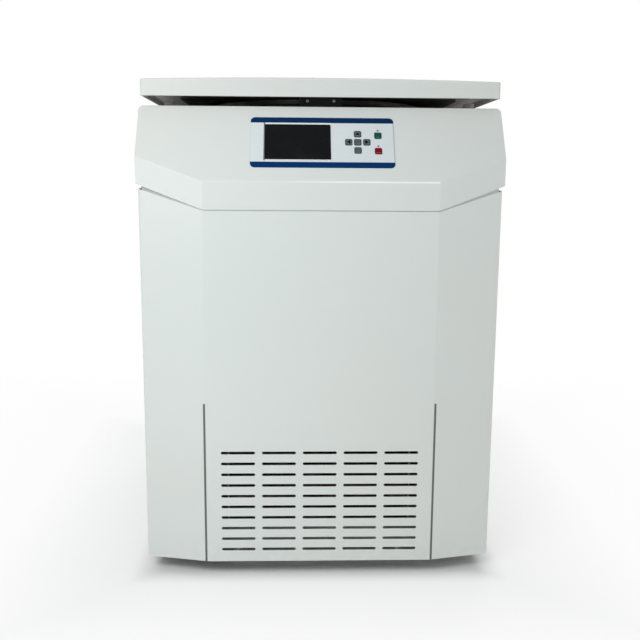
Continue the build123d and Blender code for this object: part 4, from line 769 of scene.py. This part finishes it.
# The frame's left side is painted dark as shade.
left_painted_shade = aside < shaded_side_width - display_half[0]
blend(start, left_painted_shade, (0.72, 0.77, 0.79), (0.1, 0.13, 0.16)).to(shader, "Base Color")
spread(start, grain(start, 90, 3), 0.3, 0.44).to(shader, "Roughness")
relief(start, grain(start, 1300, 2), 0.00002).to(shader, "Normal")

dark_glass, shader, start = finish("dark_glass", (0.005, 0.0055, 0.006), 0.2, Specular_IOR_Level=0.06)
smears = grain(start, 26, 5, (1, 0.6, 1))
blend(start, smears, (0.004, 0.0045, 0.005), (0.0065, 0.007, 0.0078)).to(shader, "Base Color")
spread(start, smears, 0.14, 0.34).to(shader, "Roughness")
relief(start, grain(start, 2400, 1), 0.00001).to(shader, "Normal")


def display_loop(inset_x, inset_up, out, steps=5):
    """The display's outline with round corners, drawn in by an amount across and by another up."""
    loop = []
    straight_x = display_half[0] - inset_x - display_corner
    straight_up = display_half[1] - inset_up - display_corner
    for quarter, (side, top) in enumerate(((1, 1), (-1, 1), (-1, -1), (1, -1))):
        for i in range(steps):
            turn = (quarter + i / (steps - 1)) * pi / 2
            loop.append(slope_point(
                display_centre[0] + side * straight_x + display_corner * cos(turn),
                display_centre[1] + top * straight_up + display_corner * sin(turn), out,
            ))
    return loop


display = bmesh.new()
lap, sight_x, sight_up = 0.0012, 0.0008, 0.0015
frame_section = [
    (0.0001, 0.0001, -0.0022), (0.0001, 0.0001, 0.00085), (-lap, -lap, 0.00085), (-lap, -lap, 0.0012),
    (0.0002 - lap, 0.0002 - lap, 0.0014), (-0.0004, -0.0002, 0.0014),
    (sight_x - 0.0003, sight_up - 0.0004, 0.0009), (sight_x, sight_up, 0.0002),
]
glass_section = [
    (sight_x, sight_up, 0.0002), (sight_x + 0.0004, sight_up + 0.0004, 0.0003), (0.03, 0.03, 0.0003)
]
frame_loops = [display_loop(*step) for step in frame_section]
glass_loops = [display_loop(*step) for step in glass_section]
skin(display, frame_loops, capped=False)
skin(display, glass_loops, capped=False, material=1)
display.faces.new(display.verts[:len(frame_loops[0])])
display.faces.new(display.verts[-len(glass_loops[-1]):]).material_index = 1
display_piece = piece("display", display, "cabinet", "display_glass", frame_moulding, dark_glass)
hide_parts("display_screen")

# Each cap is moulded silicone, with painted shade round its rim, a painted highlight low on it and a
# printed mark on some.
cap_half, rim_shade_start, rim_shade_end = (0.0061, 0.00635), -0.0024, -0.0012
low_highlight_start, low_highlight_end = -0.0018, -0.0052
arrow_half, bar_up, bar_half_high, bar_half_long = 0.0023, 0.0016, 0.0005, 0.004
key_centre, key_step = (0.062, 0.0785), (0.0154, 0.0165)


def arrow(ahead, aside, base, slant):
    """An arrow head that points ahead, with its base this far behind the cap's centre."""
    return (ahead > -base) * (abs(aside) + ahead * slant < arrow_half)


def printed_mark(kind, across, up):
    """The mark on a cap: an arrow that points up, left or right, or two short bars."""
    if kind == "up":
        return arrow(up, across, 0.0022, 0.75)
    if kind == "left":
        return arrow(0 - across, up, 0.0028, 0.72)
    if kind == "right":
        return arrow(across, up, 0.0028, 0.72)
    bars = (abs(abs(up) - bar_up) < bar_half_high) * (abs(across) < bar_half_long)
    return bars * 0.45


def cap(node, centre, top, rim_shade, mark=None):
    """The finish of one cap: its top colour, painted shade round its rim, a painted highlight low on
    it, and the mark that is printed on it.
    """
    silicone, shader, start = finish(f"cap_{node}", top, 0.55, Specular_IOR_Level=0.05)
    across, up = on_slope(start, centre)
    to_edge = start.math("MAXIMUM", abs(across) - cap_half[0], abs(up) - cap_half[1])
    # Painted shade darkens the rim, and a painted highlight lightens the low part of the cap.
    rim_shade_share = ramped(start, to_edge, rim_shade_start, rim_shade_end)
    wear = spread(start, grain(start, 260, 3), 0, 0.25)
    worn = blend(start, wear, top, tuple(0.8 * c for c in top))
    low_highlight_share = ramped(start, up, low_highlight_start, low_highlight_end, 0, 0.3)
    low_highlighted = blend(start, low_highlight_share, worn, (0.36, 0.39, 0.4))
    colour = blend(start, rim_shade_share, low_highlighted, rim_shade)
    if mark:
        colour = blend(start, printed_mark(mark, across, up), colour, (0.001, 0.001, 0.0015))
    colour.to(shader, "Base Color")
    spread(start, grain(start, 500, 2), 0.48, 0.62).to(shader, "Roughness")
    relief(start, grain(start, 1500, 1), 0.00003).to(shader, "Normal")
    dress(silicone, node)


grey_top, grey_rim_shade = (0.102, 0.132, 0.146), (0.056, 0.075, 0.084)
for node, steps_right, steps_up, mark in (
    ("key_up", 0, 1, "up"), ("key_left", -1, 0, "left"), ("key_enter", 0, 0, "bars"),
    ("key_right", 1, 0, "right"), ("key_down", 0, -1, "bars"),
):
    centre = (key_centre[0] + steps_right * key_step[0], key_centre[1] + steps_up * key_step[1])
    cap(node, centre, grey_top, grey_rim_shade, mark)
start_centre, stop_centre = (0.0968, 0.0922), (0.0968, 0.0609)
cap("key_start", start_centre, (0.008, 0.09, 0.06), (0.012, 0.05, 0.045))
cap("key_stop", stop_centre, (0.27, 0.002, 0.008), (0.15, 0.008, 0.014))

# A smoked lens stands over each command key's lamp.
smoked, shader, start = finish("smoked_lens", (0.03, 0.04, 0.042), 0.15, Coat_Weight=0.4)
spread(start, grain(start, 800, 2), 0.12, 0.3).to(shader, "Roughness")
lens_tone = blend(start, grain(start, 1200, 1), (0.025, 0.034, 0.036), (0.045, 0.055, 0.056))
lens_tone.to(shader, "Base Color")
lens_dome, over_key = [(0.0016, 0), (0.0015, 0.0004), (0.0011, 0.0008), (0.0004, 0.001)], 0.0103
lenses = bmesh.new()
for x, up in (start_centre, stop_centre):
    skin(lenses, turned(slope_point(x, up + over_key, film_sheet), slope_out, lens_dome, 16))
piece("lamp_lenses", lenses, "cabinet", "clear_plastic", smoked)

# ---------------------------------------------------------------- deck and lid
# The deck is painted steel under the lid. The lid is a folded cover over a folded tray, with a
# moulded plug that closes the bowl, rubber buffers at the front and a clear sight port.
dress(powder, "top_deck", "lid_cover")

undercoat, shader, start = finish("warm_undercoat", (0.88, 0.78, 0.8), 0.5)
film_drift = grain(start, 6, 3)
blend(start, film_drift, (0.92, 0.845, 0.865), (0.82, 0.745, 0.76)).to(shader, "Base Color")
spread(start, film_drift, 0.44, 0.56).to(shader, "Roughness")
relief(start, grain(start, 600, 2), 0.00004).to(shader, "Normal")
dress(undercoat, "lid_tray")

moulded, shader, start = finish("black_lid_moulding", (0.016, 0.016, 0.017), 0.45)
swirl = grain(start, 30, 4)
blend(start, swirl, (0.013, 0.013, 0.014), (0.024, 0.024, 0.025)).to(shader, "Base Color")
spread(start, swirl, 0.36, 0.55).to(shader, "Roughness")
relief(start, grain(start, 1400, 2), 0.00005).to(shader, "Normal")
dress(moulded, "lid_liner")

clear, shader, start = finish(
    "clear_polycarbonate", (0.93, 0.96, 0.95), 0.05, Transmission_Weight=1.0, IOR=1.58
)
spread(start, grain(start, 60, 4), 0.02, 0.12).to(shader, "Roughness")
relief(start, grain(start, 30, 2), 0.0001).to(shader, "Normal")
dress(clear, "lid_window")

# The port's clear plug is held by a black ring that is pressed in from above. The lid rests a
# little open, turned about its hinge line.
lid_turn = radians(1.2)
lid_back = Vector((0, cos(lid_turn), -sin(lid_turn)))
lid_up = Vector((0, sin(lid_turn), cos(lid_turn)))
port_low, port_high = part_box("lid_window")
port_top = Vector((*((port_low + port_high) / 2).xy, port_high.z - 0.0001))
ring_section = [
    (0.0054, -0.0008), (0.0054, 0.0012), (0.006, 0.0019), (0.0082, 0.0017), (0.0094, 0.0006),
    (0.0094, -0.0008),
]
port_ring = bmesh.new()
skin(port_ring, turned(port_top, lid_up, ring_section, 40), closed=True)
piece("port_ring", port_ring, "lid", "black_plastic", moulded)

grey_rubber, shader, start = finish("grey_rubber", (0.42, 0.4, 0.38), 0.65, Sheen_Weight=0.1)
scuff = grain(start, 150, 4)
blend(start, scuff, (0.46, 0.44, 0.42), (0.34, 0.32, 0.3)).to(shader, "Base Color")
spread(start, scuff, 0.56, 0.75).to(shader, "Roughness")
relief(start, grain(start, 900, 2), 0.00005).to(shader, "Normal")
dress(grey_rubber, "lid_buffers")

# Two hinges with zinc-plated leaves turn on plain pins, and their brackets are screwed down.
dress(zinc, "hinge_leaves", "hinge_brackets")
hinge_line = Vector((0, 0.322, 0.843))
hinge_x, screw_x, screw_y, bracket_sheet = 0.2, 0.0331, 0.01, 0.003
bracket_top = deck_top + bracket_sheet
hinge_spots = [
    ((side * hinge_x + end * screw_x, hinge_line.y + row * screw_y, bracket_top), (0, 0, 1))
    for side in (-1, 1) for end in (-1, 1) for row in (-1, 1)
]
screws("hinge_screws", hinge_spots, "cabinet", bright, radius=0.0038, height=0.002)

# ---------------------------------------------------------------- lid lock
# A blackened striker with a round bar hangs under the lid's front edge, on two dull socket
# screws. The hardened hook that catches the bar turns between the cheeks of a plated housing.
dress(zinc, "latch_housing")
blackened, shader, start = finish(
    "blackened_steel", (0.006, 0.006, 0.007), 0.6, Specular_IOR_Level=0.12
)
brushed = grain(start, 240, 2, (1, 0.06, 0.06))
blend(start, brushed, (0.0045, 0.0045, 0.0055), (0.009, 0.009, 0.01)).to(shader, "Base Color")
spread(start, brushed, 0.52, 0.68).to(shader, "Roughness")
relief(start, brushed, 0.00003).to(shader, "Normal")
dress(blackened, "lid_striker")
hard_grey, shader, start = finish("hardened_steel", (0.2, 0.2, 0.21), 0.35, Metallic=1.0)
oil = grain(start, 90, 4)
blend(start, oil, (0.15, 0.15, 0.16), (0.3, 0.3, 0.31)).to(shader, "Base Color")
spread(start, oil, 0.28, 0.48).to(shader, "Roughness")
dress(hard_grey, "latch_hook")

striker_forward, striker_down, striker_screw_x = 0.588, 0.0156, 0.023
striker_face = hinge_line - striker_forward * lid_back - striker_down * lid_up
striker_spots = [
    ((side * striker_screw_x, striker_face.y, striker_face.z), tuple(-lid_back)) for side in (-1, 1)
]
screws("striker_screws", striker_spots, "lid", hard_grey, radius=0.003, height=0.0016)

# ---------------------------------------------------------------- rear services
# A moulded mains inlet with its rocker switch clips into the rear panel. The rocker is gloss
# black, with a bar and a ring printed in white for on and off.
rocker_x, rocker_z, mark_step = -0.215, 0.187, 0.0064
bar_half_wide, bar_half_tall, ring_radius, ring_half_line = 0.0007, 0.0026, 0.0023, 0.0005
rocker_black, shader, start = finish("rocker_black", (0.015, 0.015, 0.016), 0.3)
x, _, z = split(start, place(start))
aside, over_middle = x - rocker_x, z - rocker_z
on_mark = (abs(aside) < bar_half_wide) * (abs(over_middle - mark_step) < bar_half_tall)
over_ring = over_middle + mark_step
from_ring_centre = start.math("SQRT", aside * aside + over_ring * over_ring)
off_mark = abs(from_ring_centre - ring_radius) < ring_half_line
marked = blend(start, on_mark + off_mark, (0.015, 0.015, 0.016), (0.75, 0.75, 0.74))
marked.to(shader, "Base Color")
spread(start, grain(start, 300, 2), 0.25, 0.4).to(shader, "Roughness")
dress(rocker_black, "power_rocker")
